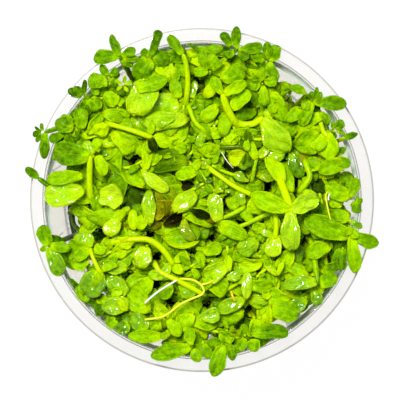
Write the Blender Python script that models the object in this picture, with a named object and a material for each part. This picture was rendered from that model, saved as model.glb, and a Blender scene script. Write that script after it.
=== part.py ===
"""Lemon bacopa growing out of a clear round culture cup.

Metres, +Z up. The origin is the middle of the cup's flat underside, so the cup stands on z = 0.
"""
import math

import bpy
from mathutils import Matrix, Quaternion, Vector

# Driving dimensions of the cup
MM = 0.001
CUP_HEIGHT = 55.0 * MM
FLANGE_RADIUS = 47.5 * MM
FLANGE_THICK = 0.8 * MM
LIP_DROP = 2.2 * MM
MOUTH_RADIUS = 43.3 * MM
COLLAR_HEIGHT = 4.0 * MM
LEDGE_WIDTH = 1.0 * MM
FLOOR_RADIUS = 38.6 * MM
FLOOR_THICK = 1.0 * MM
CORNER_RADIUS = 4.0 * MM
WALL = 0.8 * MM
CUP_SEGMENTS = 48

# Driving dimensions of the gel and the plant
GAP = 0.3 * MM
GEL_TOP = 10.0 * MM
STEM_RADIUS = 0.95 * MM
STEM_TIP_TAPER = 0.8
STEM_STEPS = 3
LEAF_THICK = 0.5 * MM
LEAF_STATIONS = 7
LEAF_COLUMNS = 5
LEAF_WIDEST = 0.58
LEAF_BASE_WIDTH = 0.32
LEAF_TIP_WIDTH = 0.36
LEAF_CUPPING = 0.16
LEAF_ARCH = 0.10
TUFT_SIDES = 14
TUFT_REACH = 15.0 * MM
TUFT_CLEARANCE = 0.9 * MM

# Height and spread of a tuft's rings, as shares of its height and of the room that it has
TUFT_RINGS = [(0.0, 0.70), (0.30, 0.84), (0.60, 0.96), (0.82, 1.0), (0.94, 0.84), (0.985, 0.5)]

# Stems, as points in millimetres from the gel to the tip; the first height is the gel's top
FOOT = (GEL_TOP + GAP) / MM
STEMS = {
    "stem_a": [(-17, 30, FOOT), (-20, 34.8, 48), (-20.8, 36.4, 56.5), (-22.6, 39.2, 61)],
    "stem_b": [(-4, 20, FOOT), (-4.6, 25.5, 50), (-4.3, 29, 57.5), (-3.9, 33.5, 61.5),
               (-4.4, 37.3, 63.5), (-5.2, 39.8, 64.3)],
    "stem_c": [(11, 15, FOOT), (10.8, 18.8, 50), (10.5, 20.1, 57), (8.8, 21.8, 60.5),
               (7, 24.8, 62.5), (5.6, 28.8, 64.5)],
    "stem_d": [(6, 31, FOOT), (7.5, 37.5, 48), (8.2, 40.2, 56.3), (9.4, 41.3, 60.5)],
    "stem_e": [(-12, 24, FOOT), (-17, 24.5, 50), (-18.8, 23.4, 59.4)],
    "stem_f": [(24, 20, FOOT), (28.5, 25.5, 48), (29.6, 26.6, 56.5), (30.4, 26.8, 61)],
    "stem_g": [(32, 1, FOOT), (38.3, 0.8, 48), (39.8, 0.6, 56.4), (40.8, 0.6, 60.5)],
    "stem_h": [(31, -8, FOOT), (37.5, -9.2, 48), (39, -9.5, 56.4), (40.8, -9.7, 60)],
    "stem_i": [(18, 9, FOOT), (19, 10.2, 50), (19.5, 9.8, 56.5), (21, 6.5, 59.5),
               (22.9, 1.4, 62.5), (24.3, -2.8, 64.5)],
    "stem_j": [(27, -10, FOOT), (29.5, -11, 50), (30.2, -12, 57), (31, -17, 60),
               (31.6, -22.6, 62)],
    "stem_k": [(-2, -31, FOOT), (-2.6, -37.5, 48), (-2.8, -39.6, 56.4), (-2.8, -40.4, 60.5)],
    "stem_l": [(-33, -9, FOOT), (-38.3, -11, 48), (-39.9, -12, 56.6), (-42, -12.7, 60)],
    "stem_m": [(-26, -1, FOOT), (-29.5, -0.5, 50), (-30.6, 1, 57), (-30.9, 5.5, 60),
               (-30.6, 12, 62.8)],
    "stem_n": [(-29, 17, FOOT), (-33.5, 20.5, 50), (-35.2, 21.2, 57), (-39, 19.9, 59.5),
               (-43, 18.6, 61)],
    "stem_o": [(-33, 6, FOOT), (-38.5, 5, 48), (-40.2, 4.4, 55.5), (-42.6, 4.4, 57.4), (-45, 6, 58.2)],
    "stem_p": [(4, -31, FOOT), (4.8, -37.5, 48), (5, -39.3, 56.4), (5.6, -39.6, 60.5)],
    "stem_c_fork": [(12.1, 20.3, 57.7), (14.2, 21, 58.8), (16.4, 22.6, 59.8)],
}

# Leaves in millimetres: base, tip, width, and the roll about the midrib in degrees
LEAVES = {
    "leaf_a1": ((-24.1, 38.9, 61.3), (-29.8, 38.6, 60.5), 4.1, 8),
    "leaf_a2": ((-22.7, 40.6, 61.6), (-24.8, 45.3, 62.5), 3.2, -30),
    "leaf_b1": ((-6, 40.9, 64.5), (-9.1, 45, 63.5), 2.8, 0),
    "leaf_b2": ((-6.2, 26.6, 57.6), (-16, 21.9, 57.4), 9.8, 4),
    "leaf_c1": ((6.9, 29.7, 64.8), (12.1, 32.3, 64), 3.3, 10),
    "leaf_c2": ((5, 30.2, 65), (2.8, 33.6, 65.5), 3, -10),
    "leaf_c3": ((17.6, 21.9, 60.4), (23.7, 13.2, 58.8), 6.9, 18),
    "leaf_d1": ((9.5, 42.7, 60.9), (9.4, 47.7, 60), 2.8, 0),
    "leaf_e1": ((-18, 24.8, 60.2), (-14.4, 32.8, 61.2), 8.4, -6),
    "leaf_f1": ((31.8, 26.7, 61.3), (39.7, 26.2, 60), 4.1, 0),
    "leaf_f2": ((29.9, 25.4, 61.2), (27, 20.4, 60.4), 3.4, 0),
    "leaf_g1": ((39.4, 1.2, 60.9), (33.7, 4.1, 60.8), 4.7, 0),
    "leaf_g2": ((41.2, 2.1, 61), (42.5, 6.1, 61.5), 3.3, 12),
    "leaf_h1": ((39.2, -9.2, 60.4), (28.2, -5, 60), 6.1, 0),
    "leaf_h2": ((42.4, -8.9, 60.4), (48.5, -12.1, 59.4), 4, 8),
    "leaf_h3": ((40.7, -11.4, 60.2), (42.2, -20.1, 58.8), 3.9, 0),
    "leaf_i1": ((22.9, -2.3, 64.9), (13.2, 1.9, 63.6), 5.2, -8),
    "leaf_i2": ((25.8, -2.2, 64.9), (31.7, 0.6, 65.2), 5.2, 10),
    "leaf_i3": ((24.5, -4.5, 64.6), (24.8, -13.8, 62.5), 5.5, 6),
    "leaf_j1": ((30.1, -23, 62.2), (21.8, -23.5, 61.2), 4.1, 8),
    "leaf_k1": ((-4.3, -40.8, 60.5), (-14.1, -43, 59.2), 4.4, 0),
    "leaf_p1": ((6, -41, 60.6), (3.4, -48.5, 59.5), 4.5, -6),
    "leaf_l1": ((-42.4, -11.2, 60.5), (-43.9, -6.9, 60.9), 4.1, 0),
    "leaf_l2": ((-41.6, -14.2, 60.2), (-38.6, -20.7, 59.4), 4.7, 6),
    "leaf_m1": ((-32.3, 3, 59.8), (-43.3, 1.1, 60), 7, 5),
    "leaf_m2": ((-32.6, 6.5, 61.5), (-42.5, 5.4, 62), 3.9, 0),
    "leaf_m3": ((-32, 13, 63.1), (-40.8, 13.6, 62.4), 6.6, -6),
    "leaf_n1": ((-43.1, 17.1, 61), (-43.3, 11.3, 60), 2.8, 0),
    "leaf_o1": ((-45.9, 6.8, 58.5), (-48.4, 8.9, 59), 2.4, 0),
}

# Tufts of small shoots in millimetres: place in plan and the height of the highest tips
TUFTS = {
    "tuft_north": (-3, 32, 54.5),
    "tuft_north_east": (17, 28, 55),
    "tuft_east": (30, 12, 54.5),
    "tuft_south_east": (27, -20, 54.5),
    "tuft_south": (15, -29, 55),
    "tuft_south_west": (-13, -29, 55),
    "tuft_west": (-28, -18, 54.5),
    "tuft_north_west": (-23, 25, 54.5),
    "tuft_inner_west": (-21, 11, 56),
    "tuft_inner_north": (0, 8, 56.5),
    "tuft_inner_east": (15, -10, 56.5),
    "tuft_inner_south": (-12, -11, 56.5),
}


# Scene and materials
def clear_scene():
    """Empty the file of its objects."""
    for item in list(bpy.data.objects):
        bpy.data.objects.remove(item)


def material(name, colour, roughness, transmission=0.0):
    """A Principled material in one colour."""
    made = bpy.data.materials.new(name)
    made.use_nodes = True
    shader = made.node_tree.nodes["Principled BSDF"]
    shader.inputs["Base Color"].default_value = (*colour, 1.0)
    shader.inputs["Roughness"].default_value = roughness
    shader.inputs["Metallic"].default_value = 0.0
    shader.inputs["Transmission Weight"].default_value = transmission
    return made


def add_mesh(name, vertices, faces, finish):
    """A new mesh object in the scene."""
    mesh = bpy.data.meshes.new(name)
    mesh.from_pydata(vertices, [], faces)
    mesh.materials.append(finish)
    made = bpy.data.objects.new(name, mesh)
    bpy.context.collection.objects.link(made)
    return made


# Turned pieces: the cup and the gel
def arc(centre_r, centre_z, radius, start, end, steps):
    """Profile points on a round corner, angles in degrees."""
    angles = [math.radians(start + (end - start) * i / steps) for i in range(steps + 1)]
    return [(centre_r + radius * math.cos(a), centre_z + radius * math.sin(a)) for a in angles]


def turned(name, profile, segments, finish):
    """Turn a profile that starts and ends on the axis, listed with the solid on its left."""
    vertices = [(0.0, 0.0, profile[0][1]), (0.0, 0.0, profile[-1][1])]
    rings = []
    for radius, height in profile[1:-1]:
        first = len(vertices)
        for i in range(segments):
            turn = 2 * math.pi * i / segments
            vertices.append((radius * math.cos(turn), radius * math.sin(turn), height))
        rings.append([first + i for i in range(segments)])
    faces = []
    for i in range(segments):
        j = (i + 1) % segments
        faces.append((0, rings[0][j], rings[0][i]))
        faces.append((1, rings[-1][i], rings[-1][j]))
        for lower, upper in zip(rings, rings[1:]):
            faces.append((lower[i], lower[j], upper[j], upper[i]))
    made = add_mesh(name, vertices, faces, finish)
    made.data.shade_smooth()
    made.data.set_sharp_from_angle(angle=math.radians(30))
    return made


def ledge_height():
    """The height of the ledge that the collar stands on, inside the cup."""
    return CUP_HEIGHT - COLLAR_HEIGHT


def wall_radius(z):
    """The inner radius of the tapered wall at a height."""
    top = MOUTH_RADIUS - LEDGE_WIDTH
    rise = (z - FLOOR_THICK) / (ledge_height() - FLOOR_THICK)
    return FLOOR_RADIUS + (top - FLOOR_RADIUS) * rise


def build_cup():
    """The cup, from the middle of its underside round the flange to the inner floor."""
    ledge = ledge_height()
    outer_corner = CORNER_RADIUS + WALL
    corner_r = wall_radius(FLOOR_THICK + CORNER_RADIUS) - CORNER_RADIUS
    under = CUP_HEIGHT - FLANGE_THICK
    profile = [(0.0, 0.0)]
    profile += arc(corner_r, outer_corner, outer_corner, -90, 0, 3)
    profile += [
        (wall_radius(ledge) + WALL, ledge - WALL),
        (MOUTH_RADIUS + WALL, ledge),
        (MOUTH_RADIUS + WALL, under),
        (FLANGE_RADIUS - WALL, under),
        (FLANGE_RADIUS - WALL, CUP_HEIGHT - LIP_DROP),
        (FLANGE_RADIUS, CUP_HEIGHT - LIP_DROP),
        (FLANGE_RADIUS, CUP_HEIGHT - GAP),
        (FLANGE_RADIUS - GAP, CUP_HEIGHT),
        (MOUTH_RADIUS + GAP, CUP_HEIGHT),
        (MOUTH_RADIUS, CUP_HEIGHT - GAP),
        (MOUTH_RADIUS, ledge + GAP),
        (wall_radius(ledge), ledge - GAP),
    ]
    profile += arc(corner_r, FLOOR_THICK + CORNER_RADIUS, CORNER_RADIUS, 0, -90, 3)
    profile.append((0.0, FLOOR_THICK))
    return turned("cup", profile, CUP_SEGMENTS, material("clear_cup", (0.93, 0.95, 0.95), 0.05, 1.0))


def build_gel():
    """The gel disc, which keeps a gap to the floor and the wall."""
    corner_r = wall_radius(FLOOR_THICK + CORNER_RADIUS) - CORNER_RADIUS
    profile = [(0.0, FLOOR_THICK + GAP)]
    profile += arc(corner_r, FLOOR_THICK + CORNER_RADIUS, CORNER_RADIUS - GAP, -90, 0, 3)
    profile += [(wall_radius(GEL_TOP) - GAP, GEL_TOP), (0.0, GEL_TOP)]
    return turned("gel", profile, CUP_SEGMENTS, material("nutrient_gel", (0.85, 0.84, 0.70), 0.1, 1.0))


# Stems
def smooth_path(points, steps):
    """Points on a smooth curve through the given ones."""
    spots = [Vector(p) for p in points]
    marks = [0.0]
    for a, b in zip(spots, spots[1:]):
        marks.append(marks[-1] + (b - a).length)
    last = len(spots) - 1
    slopes = []
    for i in range(last + 1):
        before, after = max(i - 1, 0), min(i + 1, last)
        slopes.append((spots[after] - spots[before]) / (marks[after] - marks[before]))
    path = []
    for i in range(last):
        span = marks[i + 1] - marks[i]
        for k in range(steps):
            t = k / steps
            path.append(spots[i] * (2 * t**3 - 3 * t**2 + 1) + slopes[i] * span * (t**3 - 2 * t**2 + t)
                        + spots[i + 1] * (3 * t**2 - 2 * t**3) + slopes[i + 1] * span * (t**3 - t**2))
    path.append(spots[last])
    return path


def stem_path(points):
    """A stem's middle line in metres."""
    return [p * MM for p in smooth_path(points, STEM_STEPS)]


def build_stem(name, points, finish):
    """A stem as a bevelled curve that thins towards its tip."""
    path = stem_path(points)
    curve = bpy.data.curves.new(name, "CURVE")
    curve.dimensions = "3D"
    curve.bevel_depth = STEM_RADIUS
    curve.bevel_resolution = 1
    curve.use_fill_caps = True
    curve.materials.append(finish)
    spline = curve.splines.new("POLY")
    spline.points.add(len(path) - 1)
    for i, spot in enumerate(path):
        spline.points[i].co = (*spot, 1.0)
        spline.points[i].radius = 1.0 - (1.0 - STEM_TIP_TAPER) * i / (len(path) - 1)
    made = bpy.data.objects.new(name, curve)
    bpy.context.collection.objects.link(made)
    return made


# Leaves
def half_outline(t):
    """Half of a leaf's width at the share t of its length, as a share of its half width."""
    if t < LEAF_WIDEST:
        rise = math.sin(0.5 * math.pi * t / LEAF_WIDEST)
        return LEAF_BASE_WIDTH + (1.0 - LEAF_BASE_WIDTH) * rise
    fall = (t - LEAF_WIDEST) / (1.0 - LEAF_WIDEST)
    return LEAF_TIP_WIDTH + (1.0 - LEAF_TIP_WIDTH) * math.sqrt(1.0 - fall**2)


def build_leaf(name, base, tip, width, roll, finish):
    """A cupped and arched leaf blade: a sheet along +X with a thickness, turned into place."""
    start, end = Vector(base) * MM, Vector(tip) * MM
    length = (end - start).length
    half = 0.5 * width * MM
    vertices = []
    for i in range(LEAF_STATIONS):
        t = i / (LEAF_STATIONS - 1)
        for k in range(LEAF_COLUMNS):
            across = 2 * k / (LEAF_COLUMNS - 1) - 1
            y = across * half * half_outline(t)
            lift = LEAF_ARCH * length * 4 * t * (1 - t) + LEAF_CUPPING * abs(y) * abs(across)
            vertices.append((t * length, y, lift))
    faces = []
    for i in range(LEAF_STATIONS - 1):
        for k in range(LEAF_COLUMNS - 1):
            corner = i * LEAF_COLUMNS + k
            faces.append((corner, corner + LEAF_COLUMNS, corner + LEAF_COLUMNS + 1, corner + 1))
    made = add_mesh(name, vertices, faces, finish)
    thickness = made.modifiers.new("thickness", "SOLIDIFY")
    thickness.thickness = LEAF_THICK
    thickness.offset = 0.0
    turn = (end - start).to_track_quat("X", "Z") @ Quaternion((1, 0, 0), math.radians(roll))
    made.matrix_world = Matrix.Translation(start) @ turn.to_matrix().to_4x4()
    return made


# Tufts of small shoots
def stem_at(path, z):
    """Where a stem's middle line crosses a height, or its nearest end."""
    for low, high in zip(path, path[1:]):
        if low.z <= z <= high.z:
            return low.lerp(high, (z - low.z) / (high.z - low.z))
    return path[0] if z < path[0].z else path[-1]


def room(centre, outward, z, others, stems):
    """How far a tuft can spread from its middle in one direction at a height."""
    limit = TUFT_REACH
    blocks = [(other, 0.5, 0.5 * TUFT_CLEARANCE) for other in others]
    blocks += [(stem_at(path, z).to_2d(), 1.0, STEM_RADIUS + TUFT_CLEARANCE) for path in stems]
    for spot, share, spare in blocks:
        offset = spot - centre
        facing = outward.dot(offset.normalized())
        if facing > 0.05:
            limit = min(limit, (share * offset.length - spare) / facing)
    wall = wall_radius(z) - TUFT_CLEARANCE
    along = centre.dot(outward)
    to_wall = -along + math.sqrt(along**2 + wall**2 - centre.length_squared)
    return min(limit, to_wall)


def build_tuft(name, finish):
    """A tuft as a domed column that fills the room between its neighbours."""
    x, y, top = TUFTS[name]
    centre = Vector((x, y)) * MM
    others = [Vector(place[:2]) * MM for other, place in TUFTS.items() if other != name]
    stems = [stem_path(points) for stem, points in STEMS.items() if not stem.endswith("fork")]
    foot = GEL_TOP + GAP
    vertices = []
    for rise, spread in TUFT_RINGS:
        z = foot + rise * (top * MM - foot)
        for i in range(TUFT_SIDES):
            turn = 2 * math.pi * i / TUFT_SIDES
            outward = Vector((math.cos(turn), math.sin(turn)))
            edge = centre + outward * spread * room(centre, outward, z, others, stems)
            vertices.append((edge.x, edge.y, z))
    vertices.append((centre.x, centre.y, top * MM))
    summit = len(vertices) - 1
    last_ring = summit - TUFT_SIDES
    faces = [tuple(reversed(range(TUFT_SIDES)))]
    for i in range(TUFT_SIDES):
        j = (i + 1) % TUFT_SIDES
        for ring in range(0, last_ring, TUFT_SIDES):
            faces.append((ring + i, ring + j, ring + TUFT_SIDES + j, ring + TUFT_SIDES + i))
        faces.append((last_ring + i, last_ring + j, summit))
    return add_mesh(name, vertices, faces, finish)


# Build
clear_scene()
build_cup()
build_gel()
stem_green = material("stem_green", (0.45, 0.75, 0.03), 0.35)
leaf_green = material("leaf_green", (0.22, 0.45, 0.01), 0.35)
tuft_green = material("tuft_green", (0.12, 0.30, 0.01), 0.6)
for stem_name, stem_points in STEMS.items():
    build_stem(stem_name, stem_points, stem_green)
for leaf_name, (leaf_base, leaf_tip, leaf_width, leaf_roll) in LEAVES.items():
    build_leaf(leaf_name, leaf_base, leaf_tip, leaf_width, leaf_roll, leaf_green)
for tuft_name in TUFTS:
    build_tuft(tuft_name, tuft_green)
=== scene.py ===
# %% [markdown]
# # Lemon bacopa in its culture cup
#
# The plant is a dense clump of soft shoots that stand in gel, in a clear moulded cup. Every
# shoot carries its leaves in opposite pairs, each pair at a right angle to the one below. We
# look straight down on it, as a grower does who checks the cup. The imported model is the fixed
# frame: it gives each stem and leaf its place, and this script gives them their living surface.

import math
import random

import bpy
import numpy as np
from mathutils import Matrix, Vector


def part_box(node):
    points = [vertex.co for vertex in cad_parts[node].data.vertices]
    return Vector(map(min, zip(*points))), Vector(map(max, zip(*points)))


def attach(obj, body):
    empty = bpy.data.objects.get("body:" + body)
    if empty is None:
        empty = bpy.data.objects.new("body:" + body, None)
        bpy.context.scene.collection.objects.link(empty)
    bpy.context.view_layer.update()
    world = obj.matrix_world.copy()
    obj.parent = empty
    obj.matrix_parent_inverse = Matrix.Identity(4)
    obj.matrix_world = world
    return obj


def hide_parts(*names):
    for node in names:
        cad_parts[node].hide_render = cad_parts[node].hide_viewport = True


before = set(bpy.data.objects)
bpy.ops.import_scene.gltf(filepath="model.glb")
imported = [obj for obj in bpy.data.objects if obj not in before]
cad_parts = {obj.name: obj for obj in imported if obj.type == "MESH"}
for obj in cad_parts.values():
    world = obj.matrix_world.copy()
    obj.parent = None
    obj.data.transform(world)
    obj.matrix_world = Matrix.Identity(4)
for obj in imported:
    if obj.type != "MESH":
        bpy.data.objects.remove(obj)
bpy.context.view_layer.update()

# %% [markdown]
# ## Units and colours
#
# The frame is in metres, but leaves are easier to think of in millimetres, so all the shapes
# below are drawn in millimetres and scaled once, when a mesh is made. Colours are written as
# the hex values that a painter would pick, and turned to linear light by one function.

# %% Units, colours and one way to add a node
MM = 0.001
chance = random.Random(11)


def linear(hex_code):
    """An sRGB hex colour as linear light."""
    parts = [int(hex_code[i:i + 2], 16) / 255 for i in (1, 3, 5)]
    light = [p / 12.92 if p <= 0.04045 else ((p + 0.055) / 1.055) ** 2.4 for p in parts]
    return (*light, 1.0)


def set_values(node, values):
    """Set the values of a node's own sockets."""
    for socket, value in values.items():
        node.inputs[socket].default_value = value


def add_node(tree, kind, settings=None, values=None, links=None):
    """Add a node with its settings, its sockets' own values and the links that feed it."""
    made = tree.nodes.new(kind)
    for name, value in (settings or {}).items():
        setattr(made, name, value)
    set_values(made, values or {})
    for socket, source in (links or {}).items():
        tree.links.new(source, made.inputs[socket])
    return made


print("lime leaf in linear light:", [round(c, 3) for c in linear("#8CC400")])

# %% [markdown]
# ## Finding the surface values
#
# A leaf's colour changes from its base to its tip and from its midrib to its margin. The mesh
# builders store those two places on every vertex, with a tone (its own green, with painted light
# and painted shade for where it stands) and an age. The materials read them back as attributes,
# so the marks stay on the leaf however it is bent or turned.

# %% A plain material, and how a living one finds its values
SURFACE_VALUES = ("along", "across", "tone", "age")


def start_material(name, values):
    """A material whose shader has these values."""
    made = bpy.data.materials.new(name)
    made.use_nodes = True
    set_values(made.node_tree.nodes["Principled BSDF"], values)
    return made


def surface_values(tree):
    """The values stored on the mesh, as sources for other nodes."""
    return {name: add_node(tree, "ShaderNodeAttribute", {"attribute_name": name}).outputs["Fac"]
            for name in SURFACE_VALUES}


def shifted(tree, value, source, run, shift):
    """A value plus a shift that goes smoothly from one number to another over a run of its source."""
    ramp = add_node(tree, "ShaderNodeMapRange", {"interpolation_type": "SMOOTHSTEP"},
                    {"From Min": run[0], "From Max": run[1], "To Min": shift[0], "To Max": shift[1]},
                    {"Value": source})
    return add_node(tree, "ShaderNodeMath", {"operation": "ADD"}, None,
                    {0: value, 1: ramp.outputs["Result"]}).outputs[0]


def finish_tissue(tree, tone, age, young, old, height, relief):
    """Colour the tissue by its tone, young or old by its age, under a skin with this relief."""
    colour = add_node(tree, "ShaderNodeMix", {"data_type": "RGBA"}, None, {"Factor": age})
    for socket, stops in ((6, young), (7, old)):
        ramp = add_node(tree, "ShaderNodeValToRGB", None, None, {"Fac": tone})
        elements = ramp.color_ramp.elements
        while len(elements) < len(stops):
            elements.new(1.0)
        for element, (position, hex_code) in zip(elements, stops):
            element.position = position
            element.color = linear(hex_code)
        tree.links.new(ramp.outputs["Color"], colour.inputs[socket])
    skin = add_node(tree, "ShaderNodeBump", None, relief, {"Height": height})
    shader = tree.nodes["Principled BSDF"]
    tree.links.new(colour.outputs[2], shader.inputs["Base Color"])
    tree.links.new(skin.outputs["Normal"], shader.inputs["Normal"])


print("surface values:", SURFACE_VALUES)

# %% [markdown]
# ## The leaf: a waxy blade over soft green tissue
#
# The blade of a young leaf is thin wet tissue under a waxy skin. Light goes in, is filtered by
# the green cells and comes out again a little further on, so it needs subsurface scattering,
# and the wax gives it tight white highlights, so it needs a clear coat. Grown in a cup under
# lamps, the youngest tissue is almost yellow, and so is its rib. The base is paler young tissue
# with a painted glow of light on it that fades towards the tip, and the thin margin is pale with
# a painted edge highlight along it. Veins run from base to tip as parallel lines that bow with
# the outline. An old leaf turns olive and then brown, in patches that follow the mottling.

# %% The leaf finish
LEAF_TONES = [(0.0, "#1E3200"), (0.22, "#426E00"), (0.45, "#74A800"), (0.7, "#A2D400"), (1.0, "#C0EA00")]
OLD_TONES = [(0.0, "#120C00"), (0.3, "#342C00"), (0.6, "#6C5E00"), (0.85, "#8E9000"), (1.0, "#B4B408")]
GREEN_SHEEN = (0.75, 1.0, 0.2, 1.0)
MOTTLE_SIZE = 1.3 * MM
BEAD_SIZE = 0.5 * MM
VEINS_PER_HALF = 3.0
VEIN_RUN = (0.0, 0.14)
NOISE_RUN = (0.3, 0.7)
# Streaks are drawn out along the blade, and the tone gives each leaf streaks of its own.
STREAK_STEPS = (1.8, 3.6, 47.0)


def leaf_material(name, roughness, coat, wetness):
    """A leaf finish. Wetness raises small beads in the wax that break up the light."""
    made = start_material(name, {
        "Roughness": roughness, "Specular IOR Level": 0.08, "Specular Tint": GREEN_SHEEN,
        "Subsurface Weight": 0.35, "Subsurface Radius": (0.5, 1.0, 0.02),
        "Subsurface Scale": 1.1 * MM, "Coat Weight": coat, "Coat Roughness": 0.06})
    tree = made.node_tree
    values = surface_values(tree)
    tone, age = values["tone"], values["age"]
    place = add_node(tree, "ShaderNodeTexCoord").outputs["Object"]
    mottle = add_node(tree, "ShaderNodeTexNoise", None,
                      {"Scale": 1 / MOTTLE_SIZE, "Detail": 3.0, "Roughness": 0.6},
                      {"Vector": place}).outputs["Fac"]
    beads = add_node(tree, "ShaderNodeTexNoise", None, {"Scale": 1 / BEAD_SIZE, "Detail": 1.0},
                     {"Vector": place}).outputs["Fac"]
    blade = add_node(tree, "ShaderNodeCombineXYZ", None, None,
                     {"X": values["along"], "Y": values["across"], "Z": tone})
    steps = add_node(tree, "ShaderNodeVectorMath", {"operation": "MULTIPLY"}, {1: STREAK_STEPS},
                     {0: blade.outputs[0]})
    streak = add_node(tree, "ShaderNodeTexNoise", None, {"Scale": 1.3, "Detail": 2.0},
                      {"Vector": steps.outputs[0]}).outputs["Fac"]
    off_rib = add_node(tree, "ShaderNodeMath", {"operation": "ABSOLUTE"}, None,
                       {0: values["across"]}).outputs[0]
    spread = add_node(tree, "ShaderNodeMath", {"operation": "MULTIPLY"}, {1: VEINS_PER_HALF},
                      {0: off_rib}).outputs[0]
    off_vein = add_node(tree, "ShaderNodeMath", {"operation": "PINGPONG"}, {1: 0.5},
                        {0: spread}).outputs[0]

    mottled_age = shifted(tree, age, mottle, NOISE_RUN, (-0.16, 0.16))
    ageing = add_node(tree, "ShaderNodeMapRange", {"interpolation_type": "SMOOTHSTEP"},
                      {"From Max": 0.2}, {"Value": age}).outputs["Result"]
    oldness = add_node(tree, "ShaderNodeMath", {"operation": "MULTIPLY", "use_clamp": True}, None,
                       {0: mottled_age, 1: ageing}).outputs[0]
    # In turn: the mottling, the streaks, the pale base with its painted light, the rib, the margin
    # with its painted edge highlight, and the veins.
    for source, run, shift in [
            (mottle, NOISE_RUN, (-0.1, 0.1)), (streak, NOISE_RUN, (-0.035, 0.035)),
            (values["along"], (0.0, 0.42), (0.33, 0.0)), (off_rib, (0.0, 0.25), (0.08, 0.0)),
            (off_rib, (0.85, 1.0), (0.0, 0.14)), (off_vein, VEIN_RUN, (-0.02, 0.0))]:
        tone = shifted(tree, tone, source, run, shift)
    grooved = shifted(tree, mottle, off_vein, VEIN_RUN, (-0.2, 0.0))
    height = add_node(tree, "ShaderNodeMath", {"operation": "MULTIPLY_ADD"}, {1: wetness},
                      {0: beads, 2: grooved}).outputs[0]
    finish_tissue(tree, tone, oldness, LEAF_TONES, OLD_TONES, height,
                  {"Strength": 0.9, "Distance": 0.4 * MM})
    return made


waxy_leaf = leaf_material("waxy_leaf_blade", 0.34, 0.04, 0.6)
wet_leaf = leaf_material("wet_leaf_blade", 0.32, 0.85, 0.9)
print("leaf finishes:", waxy_leaf.name, wet_leaf.name)

# %% [markdown]
# ## The stem: soft, watery and full of light
#
# A stem that has never met wind stays soft, with pale watery tissue, so it is more yellow than
# the leaves. Fine lines run along it, and its tone is painted darker low down, as painted shade,
# and lighter at the top, as painted light.

# %% The stem finish
STEM_TONES = [(0.0, "#182E00"), (0.3, "#4E8200"), (0.6, "#94C600"), (1.0, "#CCEA00")]
OLD_STEM_TONES = [(0.0, "#1A1004"), (0.6, "#6A4A18"), (1.0, "#A08848")]
STREAK_SIZE = 0.8 * MM


def stem_material(name):
    """The stem's finish."""
    made = start_material(name, {
        "Roughness": 0.35, "Specular IOR Level": 0.25, "Specular Tint": GREEN_SHEEN,
        "Subsurface Weight": 0.35, "Subsurface Radius": (0.6, 1.0, 0.1),
        "Subsurface Scale": 1.2 * MM, "Coat Weight": 0.05, "Coat Roughness": 0.15})
    tree = made.node_tree
    values = surface_values(tree)
    place = add_node(tree, "ShaderNodeTexCoord").outputs["Object"]
    streak = add_node(tree, "ShaderNodeTexNoise", None, {"Scale": 1 / STREAK_SIZE, "Detail": 3.0},
                      {"Vector": place}).outputs["Fac"]
    line_place = add_node(tree, "ShaderNodeCombineXYZ", None, None,
                          {"X": values["across"], "Y": values["tone"]})
    line = add_node(tree, "ShaderNodeTexNoise", None, {"Scale": 5.0, "Detail": 1.0},
                    {"Vector": line_place.outputs[0]}).outputs["Fac"]
    tone = shifted(tree, values["tone"], streak, NOISE_RUN, (-0.1, 0.1))
    tone = shifted(tree, tone, line, (0.35, 0.65), (-0.12, 0.1))
    finish_tissue(tree, tone, values["age"], STEM_TONES, OLD_STEM_TONES, streak,
                  {"Strength": 0.3, "Distance": 0.1 * MM})
    return made


watery_stem = stem_material("watery_stem")
print("stem finish:", watery_stem.name)

# %% [markdown]
# ## Shapes that grow: one leaf and one tube
#
# All the green is made by two builders. A leaf is a disc of quads drawn out along its midrib:
# a grid on a square is pushed into a circle, which gives an outline that is round all the way,
# and then narrowed towards its base. A tube follows a smooth path. Both add to a Growth, which
# gathers points, faces and surface values until it becomes one mesh.

# %% The growth that gathers points and faces
LEAF, STEM, WET = 0, 1, 2
finishes = [waxy_leaf, watery_stem, wet_leaf]


class Growth:
    """One piece in the making: points in millimetres, faces, surface values and finishes."""

    def __init__(self):
        self.points = []
        self.faces = []
        self.values = []
        self.finish = []
        self.count = 0

    def add(self, points, faces, values, finish):
        """Join more points and faces on."""
        self.points.append(points)
        self.values.append(values)
        self.faces.extend([tuple(corner + self.count for corner in face) for face in faces])
        self.finish.extend([finish] * len(faces))
        self.count += len(points)

    def make(self, name, materials):
        """Turn the growth into one smooth mesh object, in metres."""
        mesh = bpy.data.meshes.new(name)
        mesh.from_pydata((np.concatenate(self.points) * MM).tolist(), [], self.faces)
        values = np.concatenate(self.values)
        for i, value in enumerate(SURFACE_VALUES):
            layer = mesh.attributes.new(value, "FLOAT", "POINT")
            layer.data.foreach_set("value", np.ascontiguousarray(values[:, i], dtype=np.float32))
        for material in materials:
            mesh.materials.append(material)
        mesh.polygons.foreach_set("material_index", self.finish)
        mesh.shade_smooth()
        made = bpy.data.objects.new(name, mesh)
        bpy.context.scene.collection.objects.link(made)
        return made


print("finishes on the plant:", [finish.name for finish in finishes])

# %% [markdown]
# ## Room inside the cup
#
# Leaves that press on the wall flatten against it. The cup's inner radius grows a little from
# the floor to a ledge, and a short collar stands on the ledge. Points below the rim are kept
# inside it, and points of a leaf that lies out over the flange are kept above the flange.

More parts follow.
